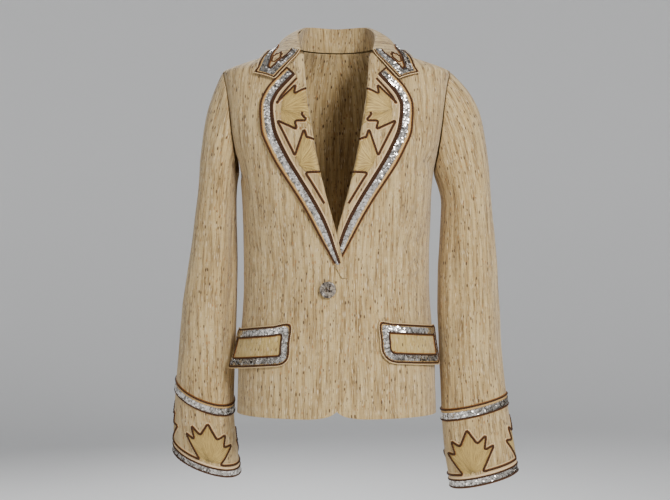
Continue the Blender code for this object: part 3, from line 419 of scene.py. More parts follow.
# Creases as soft troughs, in mm, from one place to another as seen from one side. across runs with x, or
# with y from the left and right. bow: how far the middle of its line swings aside
Crease = namedtuple("Crease", "across height to_across to_height bow width depth")
# across, height, to across, to height, bow, width, depth
CREASES = {
    "front": [
        (97, -312, 141, -288, 3, 6.0, 2.6),
        (104, -336, 145, -315, -2, 5.0, 2.0),
        (112, -356, 144, -341, 2, 5.0, 1.6),
        (-141, -300, -108, -322, 3, 6.0, 1.8),
        (-143, -335, -118, -350, 2, 5.5, 1.4),
        (134, -160, 156, -190, 2, 7.0, 3.4),
        (118, -196, 142, -178, 2, 8.0, 1.6),
        (-164, -160, -142, -206, -3, 7.0, 3.6),
        (-130, -235, -146, -196, 2, 8.0, 1.8),
        (60, -455, 57, -515, 2, 10.0, 2.0),
        (19, -385, 26, -540, 2, 6.0, 1.2),
        (-45, -395, -52, -535, 4, 14.0, 1.8),
        (90, -500, 94, -560, 3, 11.0, 1.6),
        (-165, -215, -178, -525, 6, 12.0, 3.4),
        (-206, -130, -214, -330, 8, 15.0, 2.4),
        (-236, -240, -243, -480, -6, 14.0, 2.0),
        (-196, -330, -232, -352, 6, 9.0, 2.0),
        (-182, -368, -214, -392, 5, 8.0, 1.8),
        (180, -205, 202, -470, -6, 12.0, 3.0),
        (212, -120, 232, -345, -8, 15.0, 2.4),
        (245, -300, 256, -520, 6, 14.0, 2.0),
        (196, -322, 228, -344, -6, 9.0, 2.0),
        (204, -372, 238, -390, -5, 8.0, 1.8),
        (-188, -70, -196, -130, 4, 10.0, 1.8),
        (186, -68, 198, -135, -4, 10.0, 1.8),
    ],
    "back": [
        (70, -110, 142, -178, 6, 11.0, 2.6),
        (-76, -118, -146, -186, -6, 11.0, 2.6),
        (40, -300, 128, -316, 6, 9.0, 2.4),
        (58, -342, 136, -332, -4, 8.0, 1.8),
        (-50, -308, -130, -300, 6, 9.0, 2.2),
        (-36, -344, -122, -352, 4, 8.0, 1.8),
        (82, -400, 94, -545, 4, 16.0, 2.4),
        (-78, -410, -88, -550, -4, 16.0, 2.2),
        (205, -300, 240, -322, 6, 10.0, 2.4),
        (-200, -306, -238, -330, 6, 10.0, 2.4),
        (190, -150, 214, -430, 6, 14.0, 2.6),
        (-188, -150, -210, -440, -6, 14.0, 2.6),
    ],
    "left": [
        (-10, -180, 4, -400, 6, 15.0, 2.0),
        (46, -230, 58, -500, -6, 15.0, 2.0),
    ],
    "right": [
        (-6, -170, 8, -390, -6, 15.0, 2.0),
        (50, -250, 60, -510, 6, 15.0, 2.0),
    ],
}
# For each side: the way that across runs, and the way that the eye looks
VIEWS = {
    "front": (Vector((1, 0, 0)), Vector((0, 1, 0))),
    "back": (Vector((1, 0, 0)), Vector((0, -1, 0))),
    "left": (Vector((0, 1, 0)), Vector((-1, 0, 0))),
    "right": (Vector((0, 1, 0)), Vector((1, 0, 0))),
}

panels = [node for name, node in frame["nodes"].items() if "band" not in name and "cord" not in name]
whole_form = seat_of(*panels)


def crease_path(seen, crease):
    """A crease's line on the jacket, as seven points."""
    sideways, ahead = VIEWS[seen]
    start = Vector((crease.across, crease.height))
    end = Vector((crease.to_across, crease.to_height))
    aside = Vector((start.y - end.y, end.x - start.x)).normalized()
    path = []
    for step in range(7):
        share = step / 6
        place = start.lerp(end, share) + aside * crease.bow * math.sin(math.pi * share)
        eye = sideways * place.x + Vector((0, 0, place.y)) - ahead
        hit, _, _, _ = whole_form.ray_cast(eye, ahead)
        if hit:
            path.append(np.array(hit))
    return path


CREASE_PATHS = []
for seen, rows in CREASES.items():
    for row in rows:
        crease = Crease(*(value / 1000 for value in row))
        CREASE_PATHS.append((crease, crease_path(seen, crease)))


def trough(points, path, width):
    """How deep each point lies in a soft trough: 1 in its middle, 0 well away from it and at its ends."""
    nearest = np.full(len(points), np.inf)
    share = np.zeros(len(points))
    runs = len(path) - 1
    for i in range(runs):
        span = path[i + 1] - path[i]
        along = np.clip((points - path[i]) @ span / (span @ span), 0, 1)
        away = np.linalg.norm(points - path[i] - along[:, None] * span, axis=1)
        share = np.where(away < nearest, (i + along) / runs, share)
        nearest = np.minimum(away, nearest)
    return np.exp(-((nearest / width) ** 2)) * np.sin(np.pi * np.clip(share, 0.0, 1.0)) ** 0.7


def read_vectors(mesh, what):
    values = np.empty(len(mesh.vertices) * 3)
    mesh.vertices.foreach_get(what, values)
    return values.reshape(-1, 3)


def rim_edges(mesh):
    """The edges that end a sheet: those of one face only."""
    uses = np.zeros(len(mesh.edges), dtype=int)
    sides = np.empty(len(mesh.loops), dtype=int)
    mesh.loops.foreach_get("edge_index", sides)
    np.add.at(uses, sides, 1)
    return [mesh.edges[edge].vertices for edge in np.flatnonzero(uses == 1)]


def edge_points(mesh):
    """The points along a sheet's own edges."""
    found = []
    for a, b in rim_edges(mesh):
        start, end = mesh.vertices[a].co, mesh.vertices[b].co
        found += [start.copy(), start.lerp(end, 0.5)]
    return found


CREASE_STRENGTH = 1.25
SEAM_WIDTH = 0.0028
SEAM_DEPTH = 0.0010
SEAM_REACH = 0.00035  # how far a sewn edge goes out to meet the next piece's
UNEVEN = ((18.0, 0.0008), (48.0, 0.00025))  # waves to a metre, and their height


def tree_of(points):
    """Points among which the nearest is looked for."""
    tree = KDTree(len(points))
    for i, point in enumerate(points):
        tree.insert(point, i)
    tree.balance()
    return tree


def meet_seams(mesh, points, normals, is_seam):
    """Moves a sheet's sewn edges out, so that they close on the next piece's."""
    sides = {}
    for edge in mesh.edges:
        a, b = edge.vertices
        sides.setdefault(a, []).append(b)
        sides.setdefault(b, []).append(a)
    border = {corner for ends in rim_edges(mesh) for corner in ends}
    for corner in border:
        inner = [other for other in sides[corner] if other not in border]
        if inner and is_seam(Vector(points[corner])):
            out = points[corner] - np.mean([points[other] for other in inner], axis=0)
            out -= normals[corner] * (out @ normals[corner])
            points[corner] += SEAM_REACH * out / max(np.linalg.norm(out), 1e-6)


def settle(piece, is_seam):
    """Gives a smooth sheet its creases, the slight unevenness of worn cloth, and a dip along its seams."""
    mesh = piece.data
    points = read_vectors(mesh, "co")
    normals = read_vectors(mesh, "normal")
    meet_seams(mesh, points, normals, is_seam)
    push = np.zeros(len(points))
    for scale, height in UNEVEN:
        push += height * np.array([noise.noise(Vector(point) * scale) for point in points])
    for crease, path in CREASE_PATHS:
        if len(path) > 2:
            push -= CREASE_STRENGTH * crease.depth * trough(points, path, crease.width)
    seams = [point for point in edge_points(mesh) if is_seam(point)]
    if seams:
        near = tree_of(seams)
        away = np.array([near.find(point)[2] for point in points])
        push -= SEAM_DEPTH * np.exp(-((away / SEAM_WIDTH) ** 2))
    mesh.vertices.foreach_set("co", (points + normals * push[:, None]).ravel())
    mesh.update()


def no_seam(point):
    return False


def sew_cloth(name, node, way_out, levels, is_seam=no_seam, material=slubbed_cloth, rim=RIM_ANGLE):
    """One cut piece of cloth, from the solid that holds its place. Gives what a trim on it is laid on."""
    piece = shown_side(name, node, way_out, material, rim)
    width, length, area = lay_flat(piece)
    shape_with(piece, "SUBSURF", levels=levels, render_levels=levels, boundary_smooth="PRESERVE_CORNERS")
    settle(piece, is_seam)
    seat = seat_of(piece)
    shape_with(piece, "SOLIDIFY", thickness=CLOTH, offset=-1, use_even_offset=True)
    shape_with(piece, "BEVEL", width=CLOTH * 0.3, segments=2, limit_method="ANGLE", angle_limit=RIM_ANGLE)
    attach(piece, "root")
    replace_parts(piece, node)
    min(area, width * length)
    return seat


def out_from_body(point):
    return Vector((point.x, point.y - 0.01, 0)).normalized()


EDGE_NEAR = 0.004  # what lies this near to the hem counts as the hem
NECK_HALF = 0.078
OPENING_HALF = 0.075  # the front edges lie within this of the middle


def body_seam(point):
    """Whether a point of a body panel's edge is sewn: not the hem, the front edge or the neck."""
    if point.z < HEM + EDGE_NEAR:
        return False
    if point.z > EDGE_NEAR and abs(point.x) < NECK_HALF:
        return False
    return not (point.y < 0 and abs(point.x) < OPENING_HALF)


SIDES = {"right": -1, "left": 1}
seats = {}
for word in SIDES:
    for part, levels in (("front", 3), ("back", 2)):
        node = f"{part}_{word}"
        seats[node] = sew_cloth(f"{node}_panel", node, out_from_body, levels, body_seam)


# Sleeves
# Each sleeve is two pieces of the same cloth, an upper that shows from the front and an under sleeve, sewn
# into the armhole with a little fullness at its head. They hang from the shoulder with soft upright folds.


ARMHOLE_MIDDLE = (0.185, 0.005, -0.10)
SEAM_STOP = 0.015  # how far over the hem's band a sleeve's seams stop


def out_from_sleeve(word):
    """A direction out of a sleeve's tube, from the line between its armhole and its cuff."""
    low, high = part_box(f"sleeve_hem_band_{word}")
    cuff = (low + high) / 2
    x, y, z = ARMHOLE_MIDDLE
    head = Vector((SIDES[word] * x, y, z))
    run = cuff - head

    def way_out(point):
        share = (point - head).dot(run) / run.length_squared
        return (point - head - run * share).normalized()

    return way_out


for word in SIDES:
    cuff_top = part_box(f"sleeve_hem_band_{word}")[1].z + SEAM_STOP

    def sleeve_seam(point, cuff_top=cuff_top):
        return point.z > cuff_top

    for part in ("upper", "under"):
        node = f"{part}_sleeve_{word}"
        seats[node] = sew_cloth(f"{node}_cloth", node, out_from_sleeve(word), 3, sleeve_seam)


# Collar
# The fall, of the same cloth, turns down over a stand that is sewn to the neckline. The stand's inner side
# shows at the back of the neck.

STAND_RIM_ANGLE = math.radians(40)


def into_neck(point):
    return -out_from_body(point)


seats["collar"] = sew_cloth("collar_fall_cloth", "collar_fall", out_from_body, 2)
sew_cloth("collar_stand_cloth", "collar_stand", into_neck, 2, rim=STAND_RIM_ANGLE)


# Lapels
# The fronts turn back on themselves along the roll line, so the lapels are of the same cloth. Each lies on
# the chest, and the roll stays soft.


def to_front(point):
    return Vector((0, -1, 0))


for word in SIDES:
    seats[f"lapel_{word}"] = sew_cloth(f"lapel_{word}_cloth", f"lapel_{word}", to_front, 3)


# Pocket flaps
# A slanted flap with round lower corners hangs from each hip pocket's mouth, sewn in along its top. Its
# cloth is covered with yellowish silk.

golden_cloth = make_slubbed_cloth(
    "golden_cloth", (0.51, 0.350, 0.105, 1), (0.64, 0.47, 0.17, 1), (0.31, 0.20, 0.058, 1)
)

for word in SIDES:
    node = f"pocket_flap_{word}"
    seats[f"flap_{word}"] = sew_cloth(f"{node}_cloth", node, out_from_body, 2, material=golden_cloth)


# Bands of sequins
# Overlapping silver sequins sewn on a dark tape, between couched cords of twisted brown silk. The lapels'
# band has a gold-tan strip outside it and a thick double braid and a cream line inside.

BAND_RIM = 0.0018  # how thick a band's solid is at its edges, and in its middle
BAND = 0.0010
CLOSE = 0.00002
BROWN = (0.022, 0.008, 0.003, 1)
WARM_BROWN = (0.085, 0.032, 0.008, 1)
dice = random.Random(11)


def make_brown_cord(name, dark=BROWN, light=WARM_BROWN):
    """Twisted silk: its plies run slantwise round it. Coordinates: metres along, then shares round it."""
    material, shader, wire = new_finish(name, 0.55)
    along, around = wire.flat()
    twist = (along * (math.tau / 0.0022) + around * math.tau).wave() * 0.5 + 0.5
    hair = wire.cloudy(wire.vector(along * 900, around * 5, 2.0), 3.0)
    feed(shader, "Base Color", (twist * 0.6 + hair * 0.4).within(0.2, 0.9).mixed(dark, light))
    feed(shader, "Normal", wire.bumped(twist + hair * 0.4, 0.0004, 0.8))
    shader.inputs["Specular IOR Level"].default_value = 0.22
    return material


def make_strip(name, colour, glint, roughness=0.5):
    """A flat woven tape with fine cross ribs. Coordinates: metres along, then shares round it."""
    material, shader, wire = new_finish(name, roughness)
    along, around = wire.flat()
    ribs = (along * (math.tau / 0.0011)).wave() * 0.5 + 0.5
    patch = wire.cloudy(wire.vector(along * 400, around * 4, 5.0), 3.0)
    feed(shader, "Base Color", (ribs * 0.35 + patch * 0.65).within(0.2, 0.8).mixed(colour, glint))
    feed(shader, "Normal", wire.bumped(ribs * 0.6 + patch * 0.5, 0.0003, 0.7))
    return material


def make_silver(name):
    """Metallised sequins, darker silver as painted reflection. Coordinates: each one's reflection and
    dullness.
    """
    material, shader, wire = new_finish(name, 0.25, 1.0)
    painted_reflection, dull = wire.flat()
    # The silver runs from a dark warm grey to a pale one: painted reflection of dark surroundings, spread at
    # random from disc to disc.
    feed(shader, "Base Color", painted_reflection.mixed((0.22, 0.20, 0.175, 1), (0.80, 0.765, 0.72, 1)))
    feed(shader, "Roughness", dull * 0.20 + 0.11)
    return material


brown_cord = make_brown_cord("brown_cord")
rust_cord = make_brown_cord("rust_cord", (0.17, 0.062, 0.012, 1), (0.33, 0.130, 0.026, 1))
cream_cord = make_brown_cord("cream_cord", (0.50, 0.33, 0.15, 1), (0.78, 0.60, 0.34, 1))
silver_sequins = make_silver("silver_sequins")
gold_strip = make_strip("gold_strip", (0.40, 0.22, 0.065, 1), (0.62, 0.40, 0.15, 1), 0.42)
cream_strip = make_strip("cream_strip", (0.68, 0.45, 0.22, 1), (0.86, 0.64, 0.38, 1))
dark_tape = make_strip("dark_tape", (0.16, 0.13, 0.10, 1), (0.26, 0.22, 0.17, 1), 0.8)


def corners_of(node):
    """A node's points, and which of them share an edge."""
    work = merged(node)
    points = [vertex.co.copy() for vertex in work.verts]
    linked = [{edge.other_vert(vertex).index for edge in vertex.link_edges} for vertex in work.verts]
    work.free()
    return points, linked


def in_order(groups, linked):
    """Cross-sections in the order they follow each other, and whether the last meets the first."""
    owner = {point: i for i, group in enumerate(groups) for point in group}
    beside = [
        {owner[other] for point in group for other in linked[point] if owner.get(other, i) != i}
        for i, group in enumerate(groups)
    ]
    ends = [i for i, others in enumerate(beside) if len(others) == 1]
    order = [ends[0] if ends else 0]
    while True:
        following = [i for i in beside[order[-1]] if i not in order]
        if not following:
            return order, not ends
        order.append(following[0])


def out_of(seat, point):
    _, normal, _, _ = seat.find_nearest(point)
    return normal


def band_sections(node, seat):
    """A band's cross-sections from its solid, in order: its edges on the cloth and the way out at each."""
    points, linked = corners_of(node)
    posts = {}
    for a, others in enumerate(linked):
        for b in others:
            rise = points[b] - points[a]
            if abs(rise.length - BAND_RIM) < CLOSE and rise.dot(out_of(seat, points[a])) > 0.7 * BAND_RIM:
                posts[a] = rise.normalized()
    tree = tree_of(points)

    def misfit(a, b):
        total = 0.0
        for share in (0.2, 0.8):
            up = posts[a].lerp(posts[b], share).normalized()
            total += tree.find(points[a].lerp(points[b], share) + up * BAND)[2]
        return total

    pairs = set()
    for a in posts:
        partners = [b for b in linked[a] if b in posts]
        if partners:
            b = min(partners, key=lambda other: misfit(a, other))
            if misfit(a, b) < 0.0008:
                pairs.add((min(a, b), max(a, b)))
    groups = sorted(pairs)
    order, closed = in_order(groups, linked)
    sections = []
    for i in order:
        a, b = groups[i]
        if sections:
            low, high = sections[-1][:2]
            straight = (points[a] - low).length + (points[b] - high).length
            crossed = (points[b] - low).length + (points[a] - high).length
            if crossed < straight:
                a, b = b, a
        sections.append((points[a], points[b], posts[a], posts[b]))
    return sections, closed


def beside(i, count, closed):
    """The stations before and after one on a line."""
    if closed:
        return (i - 1) % count, (i + 1) % count
    return max(i - 1, 0), min(i + 1, count - 1)


def edge_length(sections, which):
    return sum((b[which] - a[which]).length for a, b in zip(sections, sections[1:]))


def flow(rows, step, closed):
    """Rows of numbers a step apart on a smooth curve through the given ones, by their first three."""
    rows = np.array(rows, dtype=float)
    if closed:
        rows = np.concatenate([rows[-1:], rows, rows[:2]])
    else:
        rows = np.concatenate([2 * rows[:1] - rows[1:2], rows, 2 * rows[-1:] - rows[-2:-1]])
    gaps = np.linalg.norm(np.diff(rows[:, :3], axis=0), axis=1)
    at = np.concatenate([[0.0], np.cumsum(gaps)])
    slope = (rows[2:] - rows[:-2]) / (at[2:] - at[:-2])[:, None]
    start, end = at[1], at[-2]
    count = max(int(round((end - start) / step)), 4)
    places = np.linspace(start, end, count + 1)[: count if closed else count + 1]
    smooth = []
    for place in places:
        i = min(max(np.searchsorted(at, place, side="right") - 1, 1), len(rows) - 3)
        span = at[i + 1] - at[i]
        t = (place - at[i]) / span
        low = rows[i] * (1 + 2 * t) * (1 - t) ** 2 + slope[i - 1] * span * t * (1 - t) ** 2
        high = rows[i + 1] * t * t * (3 - 2 * t) - slope[i] * span * t * t * (1 - t)
        smooth.append(low + high)
    return np.array(smooth)


REACH = 0.006


def cloth_under(seat, point, up):
    """Where the cloth lies under or over a point, and the way out of it."""
    hit, normal, _, _ = seat.ray_cast(point + up * REACH, -up, REACH * 2.2)
    return hit, normal


def dropped(seat, point, up):
    """A point moved along its normal until it lies on the cloth."""
    return cloth_under(seat, point, up)[0] or point


# A line that a cord is laid along: its places, the way out of the cloth and the way on at each
Line = namedtuple("Line", "places ups aheads closed step")


class Band:
    """A band's run over the cloth: places on it by a share across, and stations along it."""

    def __init__(self, node, seat, outer=None, step=0.0016):
        sections, self.closed = band_sections(node, seat)
        if outer == "low":
            flip = sections[0][0].z > sections[0][1].z
        else:
            flip = edge_length(sections, 1) > edge_length(sections, 0)
        if flip:
            sections = [(high, low, high_up, low_up) for low, high, low_up, high_up in sections]
        rows = [[*((a + b) / 2), *a, *b, *n, *m] for a, b, n, m in sections]
        smooth = flow(rows, step, self.closed)
        self.seat = seat
        self.first = [Vector(row[3:6]) for row in smooth]
        self.second = [Vector(row[6:9]) for row in smooth]
        self.first_up = [Vector(row[9:12]).normalized() for row in smooth]
        self.second_up = [Vector(row[12:15]).normalized() for row in smooth]
        self.count = len(smooth)
        self.step = step

    def width(self, i):
        return (self.second[i] - self.first[i]).length

    def up(self, i, share):
        return self.first_up[i].lerp(self.second_up[i], share).normalized()

    def at(self, i, share, height):
        """A place this share across the band, this far above the cloth."""
        up = self.up(i, share)
        return dropped(self.seat, self.first[i].lerp(self.second[i], share), up) + up * height

    def ahead(self, i, share):
        before, after = beside(i, self.count, self.closed)
        a = self.first[before].lerp(self.second[before], share)
        b = self.first[after].lerp(self.second[after], share)
        return (b - a).normalized()

    def span(self, first, last):
        """The stations of a part of the band, and whether it is the whole of a closed one."""
        stations = list(range(first, self.count if last is None else last))
        return stations, self.closed and len(stations) == self.count

    def line(self, share, height, first=0, last=None):
        """A line along the band."""
        stations, closed = self.span(first, last)
        places = [self.at(i, share, height) for i in stations]
        ups = [self.up(i, share) for i in stations]
        aheads = [self.ahead(i, share) for i in stations]
        return Line(places, ups, aheads, closed, self.step)


def loft(name, rings, step, closed, material):
    """A tube through rings of points, closed or capped. Coordinates: metres along, shares round it."""
    sides = len(rings[0])
    points = [point for ring in rings for point in ring]
    faces, flat = [], []
    for i in range(len(rings) if closed else len(rings) - 1):
        a, b = i * sides, (i + 1) % len(rings) * sides
        start, end = i * step, (i + 1) * step
        for k in range(sides):
            n = (k + 1) % sides
            low, high = k / sides, (k + 1) / sides
            faces.append((a + k, a + n, b + n, b + k))
            flat += [start, low, start, high, end, high, end, low]
    if not closed:
        for ring, order in ((0, range(sides - 1, -1, -1)), (len(rings) - 1, range(sides))):
            faces.append(tuple(ring * sides + k for k in order))
            for k in order:
                flat += [ring * step, k / sides]
    piece = mesh_piece(name, points, faces, material, flat)
    only(piece)
    bpy.ops.object.mode_set(mode="EDIT")
    bpy.ops.mesh.select_all(action="SELECT")
    bpy.ops.mesh.normals_make_consistent(inside=False)
    bpy.ops.object.mode_set(mode="OBJECT")
    return piece


def join(pieces, name):
    """Joins pieces into one."""
    bpy.ops.object.select_all(action="DESELECT")
    for piece in pieces:
        piece.select_set(True)
    bpy.context.view_layer.objects.active = pieces[0]
    bpy.ops.object.join()
    pieces[0].name = name
    pieces[0].data.name = name
    return pieces[0]


def trim(piece):
    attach(piece, "root")
    return piece


CORD_SIDES = 8
TWIST = 0.0044
HALO = 1.6  # width of the rust stitches under a cord, in shares of the cord's
PALE_EDGING = 2.4  # and of the pale ones under those
HALO_RISE = 0.0008
STITCH_LIFT = 0.0001
# Shares of a cord's width: its middle over the cloth along a band, and elsewhere, and over its stitches
BAND_LIFT = 0.38
CORD_LIFT = 0.40
BED_DROP = 0.36
# The stitches' cross-section, and a strip's upper side
STITCHES = ((1.0, -0.3), (0.8, 0.5), (0.3, 0.9), (-0.3, 0.9), (-0.8, 0.5), (-1.0, -0.3))
TAPE = ((0.0, 0.2), (0.08, 0.8), (0.35, 1.0), (0.65, 1.0), (0.92, 0.8), (1.0, 0.2))


def flattened(name, line, width, material, rise=HALO_RISE):
    """A low line of stitches, domed and six-sided, that lies under a cord and shows along both its sides."""
    rings = []
    for place, up, ahead in zip(line.places, line.ups, line.aheads):
        side = ahead.cross(up).normalized() * (width / 2)
        rings.append([place + side * across + up * (rise * high) for across, high in STITCHES])
    return loft(name, rings, line.step, line.closed, material)


def twisted(name, line, width, material=brown_cord):
    """A cord of two plies that wind round each other, with the line in its middle."""
    radius = width / 2
    count = len(line.places)
    turns = max(round(count * line.step / TWIST), 1)
    rings = []
    for i, (place, up, ahead) in enumerate(zip(line.places, line.ups, line.aheads)):
        side = ahead.cross(up).normalized()
        wound = math.tau * turns * i / count / 2
        ring = []
        for k in range(CORD_SIDES):
            angle = math.tau * k / CORD_SIDES
            out = radius * (0.90 + 0.16 * math.cos(2 * (angle - wound)))
            ring.append(place + side * out * math.cos(angle) + up * out * math.sin(angle) * 0.85)
        rings.append(ring)
    return loft(name, rings, line.step, line.closed, material)


def cord_on(band, name, share, width, first=0, last=None, material=brown_cord):
    """A couched cord along a band."""
    return twisted(name, band.line(share, width * BAND_LIFT, first, last), width, material)


def halo_on(band, name, share, width):
    """The rust stitches under a band's cord."""
    return flattened(name, band.line(share, STITCH_LIFT), width * HALO, rust_cord)


def cord_across(band, name, i, low, high, width):
    """A cord across a band at one of its stations, which closes its end."""
    count = max(int(band.width(i) * (high - low) / band.step), 4)
    shares = [low + (high - low) * k / count for k in range(count + 1)]
    places = [band.at(i, share, width * CORD_LIFT) for share in shares]
    ups = [band.up(i, share) for share in shares]
    aheads = [(band.second[i] - band.first[i]).normalized()] * len(shares)
    return twisted(name, Line(places, ups, aheads, False, band.step), width)


def strip_on(band, name, low, high, height, material, first=0, last=None):
    """A flat strip between two shares across a band, a little domed."""
    stations, closed = band.span(first, last)
    rings = []
    for i in stations:
        ring = [band.at(i, low + (high - low) * share, height * rise) for share, rise in TAPE]
        ring += [band.at(i, low + (high - low) * share, -0.0003) for share in (1.0, 0.5, 0.0)]
        rings.append(ring)
    return loft(name, rings, band.step, closed, material)


SEQUIN_SIDES = 10
SEQUIN_RADIUS = 0.0023
SEQUIN_PITCH = 0.0027
SEQUIN_THICK = 0.00025


def sequins_on(band, name, low, high, first=0, last=None):
    """Rows of sequins between two shares across a band, each lapped over the next and tilted a little."""
    last = band.count if last is None else last
    middle = (first + last) // 2
    breadth = band.width(middle % band.count) * (high - low)
    rows = max(round((breadth - SEQUIN_RADIUS) / SEQUIN_PITCH), 1)
    points, faces, reflection_and_dullness = [], [], []
    for row in range(rows):
        share = low + (high - low) * ((row + 0.5) / rows)
        place = first + (row % 2) * 0.5 * SEQUIN_PITCH / band.step
        while place < last - 0.5:
            i = int(place) % band.count
            up, ahead = band.up(i, share), band.ahead(i, share)
            side = ahead.cross(up).normalized()
            centre = band.at(i, share + dice.uniform(-0.02, 0.02), 0.0010 + dice.uniform(0, 0.0002))
            tilt = ahead * (0.18 + dice.uniform(-0.17, 0.17)) + side * dice.uniform(-0.22, 0.22)
            top = (up + tilt).normalized()
            right = ahead.cross(top).normalized()
            front = top.cross(right)
            radius = SEQUIN_RADIUS * dice.uniform(0.90, 1.08)
            begin = len(points)
            points.append(centre - top * 0.0002)
            for level in (0.0, -SEQUIN_THICK):
                for k in range(SEQUIN_SIDES):
                    angle = math.tau * k / SEQUIN_SIDES
                    spoke = right * math.cos(angle) + front * math.sin(angle)
                    points.append(centre + spoke * radius + top * level)
            for k in range(SEQUIN_SIDES):
                n = (k + 1) % SEQUIN_SIDES
                rim, under = begin + 1, begin + 1 + SEQUIN_SIDES
                faces.append((begin, rim + k, rim + n))
                faces.append((rim + n, rim + k, under + k, under + n))
            faces.append(tuple(begin + 1 + SEQUIN_SIDES + k for k in reversed(range(SEQUIN_SIDES))))
            corners = SEQUIN_SIDES * 3 + SEQUIN_SIDES * 4 + SEQUIN_SIDES
            # Each sequin gets a random painted reflection tone, which darkens or lightens its silver, and a
            # random dullness.
            reflection_and_dullness += [dice.random(), dice.random()] * corners
            place += SEQUIN_PITCH / band.step
    return mesh_piece(name, points, faces, silver_sequins, reflection_and_dullness, smooth=False)


BAND_CORD = 0.0031
LIGHT_LINE = 0.0016
LIGHT_LINE_PLACE = -0.16
TAPE_RISE = 0.0006
STRIP_RISE = 0.0008

# What a band is made up of: shares of its width from its outer or lower edge
BandTrim = namedtuple("BandTrim", "sequins strip_word strip strip_rise strip_finish cords")
PLAIN_TRIM = BandTrim((0.24, 0.91), "gold", (0.07, 0.22), 0.0007, gold_strip, (0.02, 0.98))
CUFF_TRIMS = {
    "upper": BandTrim((0.10, 0.66), "strip", (0.68, 0.90), STRIP_RISE, gold_strip, (0.05, 0.95)),
    "hem": BandTrim((0.06, 0.66), "strip", (0.80, 1.02), STRIP_RISE, cream_strip, (0.02, 0.73)),
}


def trimmed_band(node, label, seat, made, outer=None):
    """A band of sequins and a woven strip, with a cord along each edge."""
    band = Band(node, seat, outer)
    tape = strip_on(band, f"{label}_tape", *made.sequins, TAPE_RISE, dark_tape)
    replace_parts(trim(tape), node)
    trim(sequins_on(band, f"{label}_sequins", *made.sequins))
    strip = strip_on(band, f"{label}_{made.strip_word}", *made.strip, made.strip_rise, made.strip_finish)
    trim(strip)
    for what, laid in (("cords", cord_on), ("stitches", halo_on)):
        runs = [laid(band, f"{label}_{what}_{k}", share, BAND_CORD) for k, share in enumerate(made.cords)]
        trim(join(runs, f"{label}_{what}"))
    return band


plain_bands = {"collar": "collar_band"}
plain_bands.update({f"flap_{word}": f"flap_band_{word}" for word in SIDES})
for label, node in plain_bands.items():
    band = trimmed_band(node, label, seats[label], PLAIN_TRIM)
    light = cord_on(band, f"{label}_light_line", LIGHT_LINE_PLACE, LIGHT_LINE, material=cream_cord)
    trim(light)

# The lapels: shares of the band's width from its outer edge
LAPEL_CORD = 0.02
LAPEL_GOLD = (0.09, 0.25)
LAPEL_TAPE = (0.26, 0.67)
LAPEL_SEQUINS = (0.28, 0.67)
LAPEL_BRAID = (0.73, 0.85)
LAPEL_CREAM = (0.91, 1.00)
LAPEL_EDGE_WIDTH = 0.0029
LAPEL_BRAID_WIDTH = 0.0033
SEQUINS_END = -0.330
END_CORD = 3  # the stations that the cord across a band's end takes up
lapel_runs = {}

for word in SIDES:
    node = f"lapel_band_{word}"
    label = f"lapel_{word}"
    band = Band(node, seats[label])
    lapel_runs[word] = band
    full = [i for i in range(band.count) if band.first[i].z > SEQUINS_END]
    first, last = min(full), max(full) + 1
    top = first if band.first[0].z > band.first[-1].z else last - 1
    inner, outer = (first + END_CORD, last) if top == first else (first, last - END_CORD)
    tape = strip_on(band, f"{label}_tape", *LAPEL_TAPE, TAPE_RISE, dark_tape, first, last)
    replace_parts(trim(tape), node)
    trim(sequins_on(band, f"{label}_sequins", *LAPEL_SEQUINS, inner, outer))
    trim(strip_on(band, f"{label}_gold", *LAPEL_GOLD, STRIP_RISE, gold_strip))
    cream = strip_on(band, f"{label}_cream", *LAPEL_CREAM, STRIP_RISE, cream_strip, first, last)
    trim(cream)
    edge = cord_on(band, f"{label}_edge_cord", LAPEL_CORD, LAPEL_EDGE_WIDTH)
    halo = halo_on(band, f"{label}_edge_stitches", LAPEL_CORD, LAPEL_EDGE_WIDTH)
    trim(join([edge, halo], f"{label}_edge"))
    wide = LAPEL_BRAID_WIDTH
    cords = [cord_on(band, f"{label}_braid_{k}", LAPEL_BRAID[k], wide, first, last) for k in (0, 1)]
    cords.append(cord_across(band, f"{label}_end_cord", top, LAPEL_CORD, LAPEL_BRAID[1], wide))
    trim(join(cords, f"{label}_braid"))

cuff_runs = {}
for word in SIDES:
    cloth = [bpy.data.objects[f"{part}_sleeve_{word}_cloth"] for part in ("upper", "under")]
    seat = seats[f"sleeve_{word}"] = seat_of(*cloth)
    for which, made in CUFF_TRIMS.items():
        label = f"cuff_{which}_{word}"
        cuff_runs[which, word] = trimmed_band(f"sleeve_{which}_band_{word}", label, seat, made, "low")


# Leaf borders
# One brown cord is couched along a base line and out round each leaf in turn. The leaves are filled with
# yellowish silk in long stitches that fan out from the foot.

CORD = 0.0024  # the width of the solids that hold the cords' places
LEAF_CORD = 0.0033
COLLAR_LEAF_CORD = 0.0022
CORD_STEP = 0.0009


def make_leaf_silk(name):
    """Long stitches. Coordinates: stitches round the leaf, then shares of the way out from its foot."""
    material, shader, wire = new_finish(name, 0.6)
    around, out = wire.flat()
    stitch = wire.cloudy(wire.vector(around * 1.0, out * 1.6, 4.0), 2.0)
    fine = wire.cloudy(wire.vector(around * 2.6, out * 3.0, 9.0), 2.0)
    colour = stitch.within(0.38, 0.62).mixed((0.33, 0.205, 0.046, 1), (0.60, 0.415, 0.118, 1))
    colour = (fine.within(0.50, 0.64) * 0.8).mixed(colour, (0.15, 0.083, 0.024, 1))
    feed(shader, "Base Color", colour)
    feed(shader, "Normal", wire.bumped(stitch + fine * 0.5, 0.0006, 0.8))
    shader.inputs["Sheen Weight"].default_value = 0.15
    return material


leaf_silk = make_leaf_silk("leaf_silk")


